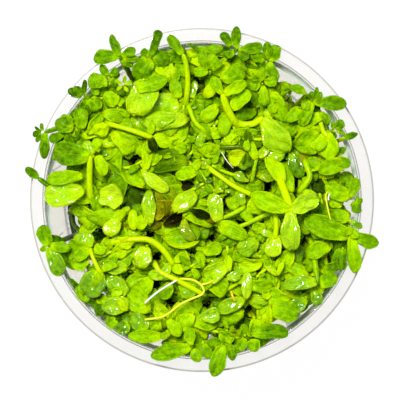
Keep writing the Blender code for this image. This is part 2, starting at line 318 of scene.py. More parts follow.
# %% The cup's sizes and the room for a leaf
cup_top, gel_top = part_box("cup")[1] / MM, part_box("gel")[1] / MM
CUP_HEIGHT = round(cup_top.z, 1)
FLANGE_RADIUS = round(cup_top.x, 1)
GEL_TOP = round(gel_top.z, 1)
FLANGE_THICK = 0.8
LIP_DROP = 2.2
MOUTH_RADIUS = 43.3
LEDGE = CUP_HEIGHT - 4.0
LEDGE_WIDTH = 1.0
FLOOR_RADIUS = 38.6
FLOOR_THICK = 1.0
CORNER_RADIUS = 4.0
WALL = 0.8
GAP = 0.3
ROLL = 0.5
WALL_SPARE = 0.4


def wall_radius(z):
    """The inner radius of the tapered wall at a height, which may be an array."""
    rise = (z - FLOOR_THICK) / (LEDGE - FLOOR_THICK)
    return FLOOR_RADIUS + (MOUTH_RADIUS - LEDGE_WIDTH - FLOOR_RADIUS) * rise


def fit_in_cup(points, over_rim):
    """Keep points clear of the wall, or of the flange when they belong above the rim."""
    away = np.hypot(points[:, 0], points[:, 1])
    if over_rim:
        outside = away > MOUTH_RADIUS - WALL_SPARE
        points[outside, 2] = np.maximum(points[outside, 2], CUP_HEIGHT + WALL_SPARE)
        return points
    limit = np.where(points[:, 2] < LEDGE, wall_radius(points[:, 2]), MOUTH_RADIUS) - WALL_SPARE
    squeeze = np.minimum(1.0, limit / np.maximum(away, 0.001))
    points[:, :2] *= squeeze[:, None]
    return points


print("cup:", CUP_HEIGHT, "flange radius:", FLANGE_RADIUS, "gel top:", GEL_TOP)

# %% The disc that a leaf is drawn on, in four finenesses
FINE, MIDDLE, PLAIN, DEEP = (20, 12), (12, 8), (7, 4), (5, 4)


def leaf_pattern(stations, columns):
    """The disc of quads that a leaf is drawn on, and the faces of its two sides and its rim."""
    s = np.linspace(-1, 1, stations + 1)[:, None]
    u = np.linspace(-1, 1, columns + 1)[None, :]
    x = s * np.sqrt(1 - u**2 / 2)
    y = u * np.sqrt(1 - s**2 / 2)
    wide = columns + 1
    total = (stations + 1) * wide
    faces = []
    for i in range(stations):
        for k in range(columns):
            a = i * wide + k
            faces.append((a, a + wide, a + wide + 1, a + 1))
            faces.append((a + total, a + 1 + total, a + wide + 1 + total, a + wide + total))
    rim = list(range(wide))
    rim += [i * wide + columns for i in range(1, stations + 1)]
    rim += [stations * wide + k for k in range(columns - 1, -1, -1)]
    rim += [i * wide for i in range(stations - 1, 0, -1)]
    for a, b in zip(rim, rim[1:] + rim[:1]):
        faces.append((a, b, b + total, a + total))
    return x, y, faces


PATTERNS = {size: leaf_pattern(*size) for size in (FINE, MIDDLE, PLAIN, DEEP)}
print("faces in each pattern:", [len(pattern[2]) for pattern in PATTERNS.values()])

# %% The leaf builder
LEAF_THICK = 0.34
MARGIN_THICK = 0.12
RIB_GROOVE, RIB_WIDTH = 0.12, 0.13
BASE_ROUND = 0.08
BASE_START = 0.35
BASE_WIDTHS = (0.3, 0.52)
WIDEST_PLACES = (0.48, 0.66)
BLUNTNESSES = (1.5, 2.3)
LOPSIDED = 0.16
WAVE_STARTS = (0, 6.28)
WAVE = 0.08
CRINKLE = 0.045
RIPPLES = ((9, 4, 1.0), (14, -6, 0.7), (5, 7, 0.6))


def smooth_step(t):
    """An even rise from 0 to 1."""
    t = np.clip(t, 0.0, 1.0)
    return t * t * (3 - 2 * t)


def leaf_frame(base, tip, roll):
    """A leaf's length and its three directions: along, across and up."""
    along = np.array(tip, float) - np.array(base, float)
    length = np.linalg.norm(along)
    along = along / length
    across = np.cross((0.0, 0.0, 1.0), along)
    across = across / max(np.linalg.norm(across), 0.001)
    up = np.cross(along, across)
    turn = math.radians(roll)
    return (length, along, across * math.cos(turn) + up * math.sin(turn),
            up * math.cos(turn) - across * math.sin(turn))


def half_outline(t, base_width, widest, bluntness):
    """Half of a blade's width along its length, as a share of its half width."""
    rise = np.sin(0.5 * math.pi * np.minimum(t / widest, 1.0))
    fall = np.clip((t - widest) / (1.0 - widest), 0.0, 1.0)
    start = BASE_START + (1 - BASE_START) * np.sqrt(1 - (1 - np.minimum(t / BASE_ROUND, 1.0)) ** 2)
    return (base_width + (1.0 - base_width) * rise) * (1.0 - fall**bluntness) ** 0.5 * start


def ripple(t, share):
    """Uneven growth: a few gentle waves over the blade, different on each leaf."""
    return sum(height * np.sin(long * t + wide * share + chance.uniform(*WAVE_STARTS))
               for long, wide, height in RIPPLES)


def add_leaf(growth, base, tip, width, roll=0.0, tone=0.5, age=0.0, arch=0.1, cup=0.15, fold=0.1,
             twist=0.0, bow=0.0, base_width=None, widest=None, size=MIDDLE, finish=LEAF):
    """Add one blade from base to tip, cupped across, folded at its midrib and waved at its margin."""
    x, y, faces = PATTERNS[size]
    if finish == WET and size != FINE:
        roll, twist = 0.3 * roll, 0.4 * twist
        tip = (tip[0], tip[1], base[2] + 0.3 * (tip[2] - base[2]))
    length, along, across, up = leaf_frame(base, tip, roll)
    t = 0.5 * (x + 1)
    share = np.clip(y / np.sqrt(np.maximum(1 - x**2, 1e-6)), -1, 1)
    base_width = chance.uniform(*BASE_WIDTHS) if base_width is None else base_width
    widest = chance.uniform(*WIDEST_PLACES) if widest is None else widest
    outline = half_outline(t, base_width, widest, chance.uniform(*BLUNTNESSES))
    uneven = 1 + chance.uniform(-LOPSIDED, LOPSIDED) * share
    uneven = uneven + 0.045 * np.sin(11 * t + chance.uniform(*WAVE_STARTS))
    side = 0.5 * width * share * outline * uneven
    hump = 4 * t * (1 - t)
    lift = arch * length * hump + cup * np.abs(side) * np.abs(share) + fold * np.abs(side)
    lift = lift + WAVE * width * share**2 * np.sin(7 * t + chance.uniform(*WAVE_STARTS) + 1.5 * share)
    lift = lift + CRINKLE * width * ripple(t, share)
    lift = lift - RIB_GROOVE * np.exp(-(share / RIB_WIDTH) ** 2) * (1 - t)
    angle = math.radians(twist) * (t - 0.3)
    side, lift = (side * np.cos(angle) - lift * np.sin(angle) * 0.3 + bow * length * hump,
                  lift + side * np.sin(angle))
    top = (np.array(base, float) + (t * length)[..., None] * along + side[..., None] * across
           + lift[..., None] * up)
    normal = np.cross(np.gradient(top, axis=0), np.gradient(top, axis=1))
    normal = normal / np.maximum(np.linalg.norm(normal, axis=2, keepdims=True), 1e-9)
    thick = MARGIN_THICK + (LEAF_THICK - MARGIN_THICK) * (1 - share**2)
    under = top - normal * thick[..., None]
    points = np.concatenate([top.reshape(-1, 3), under.reshape(-1, 3)])
    points = fit_in_cup(points, 0.5 * (base[2] + tip[2]) > CUP_HEIGHT - 0.6)
    values = np.stack([t, share, np.full_like(t, tone), np.full_like(t, age)], axis=2).reshape(-1, 4)
    growth.add(points, faces, np.concatenate([values, values]), finish)


trial = Growth()
add_leaf(trial, (0, 0, 60), (8, 0, 60), 5)
print("points in one leaf:", trial.count, "faces:", len(trial.faces))

# %% The stem builder
STEM_RADIUS = 0.8
STEM_TIP_TAPER = 0.85
NODE_SWELL, NODE_LENGTH = 0.22, 0.7


def smooth_path(points, steps):
    """Points on a smooth curve through the given ones."""
    spots = [np.array(p, float) for p in points]
    marks = [0.0]
    for a, b in zip(spots, spots[1:]):
        marks.append(marks[-1] + np.linalg.norm(b - a))
    last = len(spots) - 1
    slopes = []
    for i in range(last + 1):
        before, after = max(i - 1, 0), min(i + 1, last)
        slopes.append((spots[after] - spots[before]) / (marks[after] - marks[before]))
    path = []
    for i in range(last):
        span = marks[i + 1] - marks[i]
        for k in range(steps):
            t = k / steps
            path.append(spots[i] * (2 * t**3 - 3 * t**2 + 1) + slopes[i] * span * (t**3 - 2 * t**2 + t)
                        + spots[i + 1] * (3 * t**2 - 2 * t**3) + slopes[i + 1] * span * (t**3 - t**2))
    path.append(spots[last])
    return path


def step_from(spot, heading, reach, rise=0.0):
    """The place that lies a step away from a spot, in a direction seen from above."""
    return (spot[0] + reach * math.cos(heading), spot[1] + reach * math.sin(heading), spot[2] + rise)


def beyond(spot, neighbour, distance):
    """A place past the end of a path, away from its neighbour."""
    return spot + distance * (spot - neighbour) / np.linalg.norm(spot - neighbour)


def add_tube(growth, path, radii, tone, age=0.0, sides=8, finish=STEM):
    """Add a closed round tube along a path, with a radius and a tone at each of its points."""
    path = [beyond(path[0], path[1], 0.4 * radii[0]), *path, beyond(path[-1], path[-2], 0.5 * radii[-1])]
    radii = [0.6 * radii[0], *radii, 0.55 * radii[-1]]
    tone = [tone[0], *tone, tone[-1]]
    turns = [2 * math.pi * i / sides for i in range(sides)]
    side = None
    rings = []
    values = []
    for i, spot in enumerate(path):
        ahead = path[min(i + 1, len(path) - 1)] - path[max(i - 1, 0)]
        ahead = ahead / np.linalg.norm(ahead)
        guide = side if side is not None else np.cross(ahead, (0.31, 0.95, 0.02))
        side = guide - ahead * guide.dot(ahead)
        side = side / np.linalg.norm(side)
        other = np.cross(ahead, side)
        for k, turn in enumerate(turns):
            rings.append(spot + radii[i] * (math.cos(turn) * side + math.sin(turn) * other))
            values.append((i / len(path), 2 * k / sides - 1, tone[i], age))
    values += [(0.0, 0.0, tone[0], age), (1.0, 0.0, tone[-1], age)]
    faces = []
    first_end = len(rings)
    last_ring = first_end - sides
    for k in range(sides):
        j = (k + 1) % sides
        for ring in range(0, last_ring, sides):
            faces.append((ring + k, ring + j, ring + sides + j, ring + sides + k))
        faces.append((first_end, j, k))
        faces.append((first_end + 1, last_ring + k, last_ring + j))
    growth.add(np.array([*rings, path[0], path[-1]]), faces, np.array(values), finish)


def stem_radii(path, radius, nodes=()):
    """Radii that taper to the tip and swell a little at the nodes, given as heights."""
    made = []
    for i, spot in enumerate(path):
        taper = 1.0 - (1.0 - STEM_TIP_TAPER) * i / (len(path) - 1)
        swell = sum(NODE_SWELL * math.exp(-((spot[2] - node) / NODE_LENGTH) ** 2) for node in nodes)
        made.append(radius * (taper + swell))
    return made


print("points on a path of three:", len(smooth_path([(0, 0, 0), (1, 0, 5), (2, 2, 9)], 5)))

# %% [markdown]
# ## The cup: clear moulded polystyrene
#
# The cup is turned: one profile spun round the axis, finer than the CAD solid but on the same
# lines. Polystyrene is clear and moulded smooth, so it is drawn by the edges that bend the
# light. Its index is 1.59, which would draw dark rings round a mouth that the leaves fill, so
# a lower one is used. On the ledge and the rolled edge the eye looks down the length of the
# plastic, which gathers light there and reads as a pale band: those two have their own finish,
# an opaque pale colour that is a painted light band.

# %% The turned shapes
TURN_STEPS = 192


def arc(centre_r, centre_z, radius, start, end, steps):
    """Profile points on a round corner, angles in degrees."""
    angles = [math.radians(start + (end - start) * i / steps) for i in range(steps + 1)]
    return [(centre_r + radius * math.cos(a), centre_z + radius * math.sin(a)) for a in angles]


def turned(name, profile, material):
    """Turn a profile that starts and ends on the axis into a closed piece."""
    vertices = [(0.0, 0.0, profile[0][1] * MM), (0.0, 0.0, profile[-1][1] * MM)]
    for radius, height in profile[1:-1]:
        for i in range(TURN_STEPS):
            turn = 2 * math.pi * i / TURN_STEPS
            vertices.append((radius * MM * math.cos(turn), radius * MM * math.sin(turn), height * MM))
    last = len(vertices) - TURN_STEPS
    faces = []
    for i in range(TURN_STEPS):
        j = (i + 1) % TURN_STEPS
        faces.append((0, 2 + j, 2 + i))
        faces.append((1, last + i, last + j))
        for ring in range(2, last, TURN_STEPS):
            faces.append((ring + i, ring + j, ring + TURN_STEPS + j, ring + TURN_STEPS + i))
    mesh = bpy.data.meshes.new(name)
    mesh.from_pydata(vertices, [], faces)
    mesh.materials.append(material)
    mesh.shade_smooth()
    mesh.set_sharp_from_angle(angle=math.radians(30))
    made = bpy.data.objects.new(name, mesh)
    bpy.context.scene.collection.objects.link(made)
    return made


# %% The cup and its clear plastic
clear_plastic = start_material("clear_moulded_polystyrene", {
    "Base Color": linear("#F9F8F5"), "Transmission Weight": 0.97, "Roughness": 0.03, "IOR": 1.3})
# The rolled edge and the ledge are opaque and painted pale: painted light bands where the plastic is seen end
# on.
painted_edge_band = start_material("edge_roll_painted_band", {"Base Color": linear("#BEBCB4"), "Roughness": 0.3})
ledge_painted_band = start_material("wall_end_on_painted_band", {"Base Color": linear("#D6E0DA"), "Roughness": 0.3})

outer_corner = CORNER_RADIUS + WALL
corner_r = wall_radius(FLOOR_THICK + CORNER_RADIUS) - CORNER_RADIUS
under = CUP_HEIGHT - FLANGE_THICK
cup_profile = [(0.0, 0.0)]
cup_profile += arc(corner_r, outer_corner, outer_corner, -90, 0, 8)
cup_profile += [(wall_radius(LEDGE) + WALL, LEDGE - WALL), (MOUTH_RADIUS + WALL, LEDGE)]
cup_profile += [(MOUTH_RADIUS + WALL, under), (FLANGE_RADIUS - WALL, under)]
cup_profile += [(FLANGE_RADIUS - WALL, CUP_HEIGHT - LIP_DROP), (FLANGE_RADIUS, CUP_HEIGHT - LIP_DROP)]
cup_profile += arc(FLANGE_RADIUS - ROLL, CUP_HEIGHT - ROLL, ROLL, 0, 90, 4)
cup_profile += arc(MOUTH_RADIUS + GAP, CUP_HEIGHT - GAP, GAP, 90, 180, 3)
cup_profile += [(MOUTH_RADIUS, LEDGE + GAP), (wall_radius(LEDGE), LEDGE - GAP)]
cup_profile += arc(corner_r, FLOOR_THICK + CORNER_RADIUS, CORNER_RADIUS, 0, -90, 8)
cup_profile.append((0.0, FLOOR_THICK))
cup = turned("culture_cup", cup_profile, clear_plastic)
cup.data.materials.append(painted_edge_band)
cup.data.materials.append(ledge_painted_band)
for face in cup.data.polygons:
    away, height = math.hypot(*face.center[:2]) / MM, face.center.z / MM
    if away > FLANGE_RADIUS - ROLL and height > CUP_HEIGHT - ROLL:
        face.material_index = 1
    elif wall_radius(LEDGE) < away < MOUTH_RADIUS and abs(height - LEDGE) < GAP + 0.1:
        face.material_index = 2
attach(cup, "root")
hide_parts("cup")
print("profile points:", len(cup_profile))

# %% [markdown]
# ## The gel: set agar with the nutrients in it
#
# Agar sets to a slightly cloudy jelly that is nearly all water, so its index is 1.34 and it
# soaks up a little blue over its depth, which turns it faintly straw yellow. That tint could be
# painted on the surface, but absorption in the volume makes it deeper where there is more gel.

# %% The gel
agar = start_material("set_agar_gel", {
    "Base Color": linear("#F6F4E8"), "Transmission Weight": 1.0, "Roughness": 0.06, "IOR": 1.34})
soak = add_node(agar.node_tree, "ShaderNodeVolumeAbsorption", None,
                {"Color": linear("#E8E2B4"), "Density": 10.0})
agar.node_tree.links.new(soak.outputs["Volume"], agar.node_tree.nodes["Material Output"].inputs["Volume"])

gel_profile = [(0.0, FLOOR_THICK + GAP)]
gel_profile += arc(corner_r, FLOOR_THICK + CORNER_RADIUS, CORNER_RADIUS - GAP, -90, 0, 8)
gel_profile += [(wall_radius(GEL_TOP) - GAP, GEL_TOP), (wall_radius(GEL_TOP) - 3 * GAP, GEL_TOP - 0.1)]
gel_profile.append((0.0, GEL_TOP - 0.1))
gel = turned("agar_gel", gel_profile, agar)
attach(gel, "root")
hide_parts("gel")
print("gel depth:", GEL_TOP - FLOOR_THICK - GAP)

# %% [markdown]
# ## The main stems
#
# These are the stems that show best, on the same lines as the CAD stems. Each starts a little
# way down in the gel and swells slightly at its nodes, where leaf pairs join. A curve with a
# bevel would be quicker, but a tube made ring by ring can swell where a node is and carry its
# own tone at each height: dark down in the shade, light at the top.

# %% The main stems, as points in millimetres from the gel to the tip
FOOT = GEL_TOP + GAP
STEMS = {
    "stem_a": [(-17, 30, FOOT), (-20, 34.8, 48), (-20.8, 36.4, 56.5), (-22.6, 39.2, 61)],
    "stem_b": [(-4, 20, FOOT), (-4.6, 25, 50), (-4.3, 27.6, 58.6), (-3.9, 32.5, 61.6),
               (-4.4, 37.3, 63.5), (-5.2, 39.8, 64.3)],
    "stem_c": [(11, 15, FOOT), (10.8, 18.8, 50), (10.5, 20.1, 57), (8.8, 21.8, 60.5),
               (7, 24.8, 62.5), (5.6, 28.8, 64.5)],
    "stem_d": [(6, 31, FOOT), (7.5, 37.5, 48), (8.2, 40.2, 56.3), (9.4, 41.3, 60.5)],
    "stem_e": [(-12, 24, FOOT), (-17, 24.5, 50), (-18.8, 23.4, 59.4)],
    "stem_f": [(24, 20, FOOT), (28.5, 25.5, 48), (29.6, 26.6, 56.5), (30.4, 26.8, 61)],
    "stem_g": [(32, 1, FOOT), (38.3, 0.8, 48), (39.8, 0.6, 56.4), (40.8, 0.6, 60.5)],
    "stem_h": [(31, -8, FOOT), (37.5, -9.2, 48), (39, -9.5, 56.4), (40.8, -9.7, 60)],
    "stem_i": [(18, 9, FOOT), (19, 10.2, 50), (19.5, 9.8, 56.5), (21, 6.5, 59.5),
               (22.9, 1.4, 62.5), (24.3, -2.8, 64.5)],
    "stem_j": [(27, -10, FOOT), (29.5, -11, 50), (30.2, -12, 57), (31, -17, 60),
               (31.6, -22.6, 62)],
    "stem_k": [(-2, -31, FOOT), (-2.6, -37.5, 48), (-2.8, -39.6, 56.4), (-2.8, -40.4, 60.5)],
    "stem_l": [(-33, -9, FOOT), (-38.3, -11, 48), (-39.9, -12, 56.6), (-42, -12.7, 60)],
    "stem_m": [(-26, -1, FOOT), (-29.5, -0.5, 50), (-30.6, 1, 57), (-30.9, 5.5, 60),
               (-30.6, 12, 62.8)],
    "stem_n": [(-29, 17, FOOT), (-33.5, 20.5, 50), (-35.2, 21.2, 57), (-39, 19.9, 59.5),
               (-43, 18.6, 61)],
    "stem_o": [(-33, 6, FOOT), (-38.5, 5, 48), (-40.2, 4.4, 55.5), (-42.6, 4.4, 57.4), (-45, 6, 58.2)],
    "stem_p": [(4, -31, FOOT), (4.8, -37.5, 48), (5, -39.3, 56.4), (5.6, -39.6, 60.5)],
    "stem_c_fork": [(9.4, 21.3, 59.6), (11.4, 20.7, 58.8), (14.2, 21, 59.2), (16.6, 22.6, 60.2)],
}
WIDE_STEMS = {"stem_c": 1.15, "stem_i": 1.25, "stem_m": 0.95, "stem_j": 0.85, "stem_c_fork": 1.0}
# The stems named here are painted lighter towards their tops, as painted light.
BRIGHT_STEMS = ("stem_b", "stem_c", "stem_i", "stem_m", "stem_c_fork")
NODE_HEIGHTS = (20, 28, 36, 44, 51, 57)
TIP_SHARES = (1.0, 0.95, 0.85, 0.6)
GEL_REACH = 5.0
# Painted shade: the tone is painted deeper out by the rim and darker down in the depth.
RIM_SHADE, RIM_RUN = 0.16, (34, 8)
DEEP_TONE, TOP_GAIN, LIGHT_RUN = 0.26, 0.42, (40.0, 18.0)


def rising(value, start, run):
    """A smooth rise from 0 to 1 as a value goes past its start over a run."""
    return float(smooth_step((value - start) / run))


def rim_shade(x, y):
    """How much deeper the green is painted out by the rim, as painted shade."""
    return RIM_SHADE * rising(math.hypot(x, y), *RIM_RUN)


def light_at(z, bright=0.0):
    """The tone painted on a stem or a leaf at a height: painted shade in the depth, full at the rim."""
    return DEEP_TONE + (TOP_GAIN + bright) * rising(z, *LIGHT_RUN)


for name, points in STEMS.items():
    growth = Growth()
    path = smooth_path(points, 7)
    if not name.endswith("fork"):
        path = [path[0] - np.array((0.0, 0.0, GEL_REACH))] + path
    bright = 0.3 if name in BRIGHT_STEMS else 0.0
    tones = [light_at(spot[2], bright) - 2 * rim_shade(*spot[:2]) for spot in path]
    radii = stem_radii(path, WIDE_STEMS.get(name, STEM_RADIUS), NODE_HEIGHTS)
    radii[-4:] = [radius * share for radius, share in zip(radii[-4:], TIP_SHARES)]
    add_tube(growth, path, radii, tones, sides=12)
    # A tube's faces take the second finish.
    stem = growth.make("living_" + name, [watery_stem, watery_stem])
    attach(stem, "root")
    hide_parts(name)
print("main stems:", len(STEMS))

# %% [markdown]
# ## The main leaves
#
# The twenty-nine leaves that show best lie along the lines of their CAD solids. One modelled leaf
# could be copied to all these places, but no two leaves of the plant are alike, so each is drawn
# with its own tone and bend: leaves near the rim are a deeper green, those over the middle are
# nearly yellow. The leaves have no stalk, so a base that lies close to a stem's tip is moved on
# to it, and clasps it.

# %% The main leaves: base, tip, width, roll, tone and arch
LEAVES = {
    "leaf_a1": ((-24.1, 38.9, 61.3), (-29.8, 38.6, 60.5), 4.1, 8, 0.36, 0.12),
    "leaf_a2": ((-22.7, 40.6, 61.6), (-24.8, 45.3, 62.5), 3.2, -30, 0.34, 0.05),
    "leaf_b1": ((-6, 40.9, 64.5), (-9.1, 45, 63.5), 2.8, 0, 0.38, 0.12),
    "leaf_b2": ((-6.2, 26.6, 57.6), (-16, 21.9, 57.4), 9.8, 4, 0.64, 0.10),
    "leaf_c1": ((6.9, 29.7, 64.8), (12.1, 32.3, 64), 3.3, 10, 0.72, 0.14),
    "leaf_c2": ((5, 30.2, 65), (2.8, 33.6, 65.5), 3, -10, 0.60, 0.10),
    "leaf_c3": ((17.6, 21.9, 60.4), (23.7, 13.2, 58.8), 7.4, 18, 0.74, 0.12),
    "leaf_d1": ((9.5, 42.7, 60.9), (9.4, 47.7, 60), 2.8, 0, 0.32, 0.10),
    "leaf_e1": ((-18, 24.8, 60.2), (-14.4, 32.8, 61.2), 8.4, -6, 0.80, 0.08),
    "leaf_f1": ((31.8, 26.7, 61.3), (39.7, 26.2, 60), 4.1, 0, 0.36, 0.12),
    "leaf_f2": ((29.9, 25.4, 61.2), (27, 20.4, 60.4), 3.4, 0, 0.50, 0.12),
    "leaf_g1": ((39.4, 1.2, 60.9), (33.7, 4.1, 60.8), 4.7, 0, 0.58, 0.10),
    "leaf_g2": ((41.2, 2.1, 61), (42.5, 6.1, 61.5), 3.3, 12, 0.52, 0.06),
    "leaf_h1": ((39.2, -9.2, 60.4), (28.2, -5, 60), 6.1, 0, 0.48, 0.10),
    "leaf_h2": ((42.4, -8.9, 60.4), (48.5, -12.1, 59.4), 4, 8, 0.46, 0.10),
    "leaf_h3": ((40.7, -11.4, 60.2), (42.2, -20.1, 58.8), 3.9, 0, 0.60, 0.10),
    "leaf_i1": ((22.9, -2.3, 64.9), (13.2, 1.9, 63.6), 5.2, -8, 0.66, 0.14),
    "leaf_i2": ((25.8, -2.2, 64.9), (31.7, 0.6, 65.2), 5.2, 10, 0.82, 0.05),
    "leaf_i3": ((24.5, -4.5, 64.6), (24.8, -13.8, 62.5), 5.5, 6, 0.74, 0.14),
    "leaf_j1": ((30.1, -23, 62.2), (21.8, -23.5, 61.2), 4.1, 8, 0.58, 0.14),
    "leaf_k1": ((-4.3, -40.8, 60.5), (-14.1, -43, 59.2), 4.4, 0, 0.46, 0.10),
    "leaf_p1": ((6, -41, 60.6), (3.4, -48.5, 59.5), 4.5, -6, 0.46, 0.12),
    "leaf_l1": ((-42.4, -11.2, 60.5), (-43.9, -6.9, 60.9), 4.1, 0, 0.42, 0.08),
    "leaf_l2": ((-41.6, -14.2, 60.2), (-38.6, -20.7, 59.4), 4.7, 6, 0.46, 0.12),
    "leaf_m1": ((-32.3, 3, 59.8), (-43.3, 1.1, 60), 7, 5, 0.8, 0.10),
    "leaf_m2": ((-32.6, 6.5, 61.5), (-42.5, 5.4, 62), 3.9, 0, 0.56, 0.14),
    "leaf_m3": ((-32, 13, 63.1), (-40.8, 13.6, 62.4), 6.6, -6, 0.36, 0.08),
    "leaf_n1": ((-43.1, 17.1, 61), (-43.3, 11.3, 60), 2.8, 0, 0.32, 0.10),
    "leaf_o1": ((-45.9, 6.8, 58.5), (-48.4, 8.9, 59), 2.4, 0, 0.26, 0.06),
}
GLOSSY_LEAVES = ("leaf_b2", "leaf_e1", "leaf_i2", "leaf_i3", "leaf_j1", "leaf_m1", "leaf_l2", "leaf_c3")
CLASP = 0.95
CLASP_REACH = 3.5
CLASP_LIFT = (0, 0, 0.2)
stem_ends = np.array([points[-1] for points in STEMS.values()])


def clasped(base):
    """A leaf's base moved most of the way on to the nearest stem end, which it clasps."""
    spot = np.array(base, float)
    nearest = stem_ends[np.argmin(np.linalg.norm(stem_ends - spot, axis=1))]
    near = np.linalg.norm(nearest - spot) < CLASP_REACH
    return spot + CLASP * (nearest - spot) + CLASP_LIFT if near else spot


for name, (base, tip, width, roll, tone, arch) in LEAVES.items():
    growth = Growth()
    add_leaf(growth, clasped(base), tip, width, roll, tone, arch=arch, cup=chance.uniform(-0.15, 0.2),
             fold=chance.uniform(0.0, 0.3), twist=chance.uniform(-14, 14), size=FINE,
             finish=WET if name in GLOSSY_LEAVES else LEAF)
    leaf = growth.make("living_" + name, finishes)
    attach(leaf, "root")
    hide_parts(name)
print("main leaves:", len(LEAVES))

# %% [markdown]
# ## The small shoots, one tuft at a time
#
# Between the main stems stand the small shoots. The CAD model holds them as twelve tufts, so
# each shoot joins the tuft that it stands in, and one mesh stands for each tuft. A shoot that
# shows is placed one by one; its lower pairs, which only show in the gaps, follow the rule of
# growth: opposite pairs, a quarter turn from one pair to the next, longer gaps lower down.

# %% The tufts and the way a leaf finds its tuft
TUFTS = {
    "tuft_north": (-3, 32), "tuft_north_east": (17, 28), "tuft_east": (30, 12),
    "tuft_south_east": (27, -20), "tuft_south": (15, -29), "tuft_south_west": (-13, -29),
    "tuft_west": (-28, -18), "tuft_north_west": (-23, 25), "tuft_inner_west": (-21, 11),
    "tuft_inner_north": (0, 8), "tuft_inner_east": (15, -10), "tuft_inner_south": (-12, -11),
}
tuft_growths = {name: Growth() for name in TUFTS}


def tuft_at(x, y):
    """The growth of the tuft whose middle is nearest."""
    name = min(TUFTS, key=lambda tuft: math.dist(TUFTS[tuft], (x, y)))
    return tuft_growths[name]


print("tufts:", len(TUFTS))

# %% [markdown]
# ## The dark gaps
#
# A clump this dense reads as leaves over darkness: light that falls into a gap is soaked up
# before it comes back. So the gaps are placed as carefully as the leaves, as circles that no
# filling leaf may close. The openings beside the wall run down to the gel, and lean in with it.

# %% The gaps between the leaves and the openings by the wall, as x, y and radius
GAPS = [
    (-18.5, 10.8, 2.0), (-22.4, 26.8, 1.3), (-1.1, 31.5, 3.0), (9.1, 9.4, 3.0), (32.6, 4.1, 3.0),
    (39.5, -1.9, 1.5), (24.8, 27.6, 2.8), (-27.3, -9.9, 3.0), (-18.8, 0, 3.5), (-8.3, -28.2, 2.2),
    (-10.2, -35.3, 1.6), (1.1, -29, 2.8), (6.9, -26.5, 1.2), (2.8, -37, 1.3), (13.2, -29.8, 1.5),
    (-13.8, -9.4, 1.6), (-7.2, -11, 1.4), (-2.5, -15.2, 1.2), (-12.1, 0.8, 1.4), (-3.3, 3.9, 1.4),
    (6.3, -0.6, 1.6), (10.5, -6.1, 2.0), (16, -6.3, 1.4), (12.4, -9.1, 1.3), (21.8, -13.8, 1.4),
    (27.9, -11.6, 1.6), (25.4, 5.8, 2.4), (2.8, -10.5, 2.0), (17.4, 4.4, 2.0), (-26.5, -25.4, 1.8),
    (-12.4, -16, 2.0), (-12.4, -22.9, 1.8), (-14.4, -24.8, 1.2), (10.5, -33.1, 1.8),
    (-19.9, -20.7, 1.4), (-29.5, -17.1, 1.2), (35.3, -16, 1.2), (33.4, -12.4, 1.0),
]
OPENINGS = [
    (-40.6, -1.9, 2.2), (-37.3, -7.2, 3.8), (-39.2, 8.8, 1.4), (-33.4, -19.3, 1.4), (-12.4, -39.5, 2.2),
    (11, -41.4, 1.4), (21.5, -35, 2.5), (34, -26.8, 1.6), (39.5, -20.7, 1.6), (41.1, 8, 1.6),
    (41.4, -4.7, 1), (38.4, 14.9, 1.4), (36.2, 22.6, 1.4), (24.3, 35.3, 3), (-20.7, 34.8, 2.2),
]
GAP_FLOOR = 42.0
# Leaves reach a little over a gap's edge, so this share of its radius is kept clear.
GAP_SHARE = 0.55
OPENING_LEAN = (0.94, 0.94, 1.2)
gap_places = np.concatenate([np.array(GAPS) * (1, 1, GAP_SHARE), np.array(OPENINGS)])
open_places = np.array(OPENINGS) * OPENING_LEAN


def in_gap(x, y, z, spare):
    """Whether a place would close a dark gap, or an opening that goes down along the wall."""
    places = gap_places if z >= GAP_FLOOR else open_places
    away = np.hypot(places[:, 0] - x, places[:, 1] - y)
    return bool((away < places[:, 2] + spare).any())


print("gaps:", len(GAPS), "openings:", len(OPENINGS))

# %% A pair of leaves, with bends and a gloss of their own
WET_SHARE = 0.45
DRY_RADIUS = 34.0
TIP_ROOM = 41.5


def own_bend(least_arch=0.05, twist=30):
    """How one leaf is arched, cupped, folded and twisted."""
    return {"arch": chance.uniform(least_arch, 0.2), "cup": chance.uniform(-0.3, 0.35),
            "fold": chance.uniform(-0.1, 0.4), "twist": chance.uniform(-twist, twist)}


def finish_at(x, y, share=1.0):
    """Some leaves of the inner clump keep the wet gloss of the closed cup; those by the rim dry."""
    return WET if math.hypot(x, y) < DRY_RADIUS and chance.random() < share * WET_SHARE else LEAF


def add_pair(growth, spot, turn, length, tone, age, rises=(-0.25, 0.35), tip_room=TIP_ROOM,
             size=PLAIN):
    """Add an opposite pair of leaves at a node, leaving out a leaf that would close a gap."""
    for side in (0.0, math.pi):
        angle = turn + side + chance.uniform(-0.35, 0.35)
        reach = length * chance.uniform(0.8, 1.15)
        rise = chance.uniform(*rises)
        base = step_from(spot, angle, 0.5)
        tip = step_from(base, angle, reach, rise * reach)
        middle = (0.5 * (base[0] + tip[0]), 0.5 * (base[1] + tip[1]))
        if in_gap(*middle, tip[2], 0.3 * reach) or math.hypot(*tip[:2]) > tip_room:
            continue
        add_leaf(growth, base, tip, reach * chance.uniform(0.46, 0.62), chance.uniform(-30, 30),
                 tone + chance.uniform(-0.1, 0.1), age, **own_bend(), size=size,
                 finish=finish_at(spot[0], spot[1], 0.4))


# %% The stem and the lower pairs of a small shoot
PAIR_DEPTHS = (3.5, 7.5, 13, 19, 26, 33)
INNER_PAIRS = 3
INNER_RADIUS = 26.0
SHOOT_RADIUS = 0.7
LOWEST_PAIR = GEL_TOP + 4
FOOT_SHARE, FOOT_ROOM = 0.8, 33.0
SWAY_HEIGHT = 26
KNEE_SHARE, KNEE_ROOM = 0.96, 40.0
KNEE_HEIGHT, KNEE_DEPTH = 48.0, 5
WALL_GLOW, WALL_RUN = 0.3, (27, 9)
main_tips = [points[-1] for points in STEMS.values()]


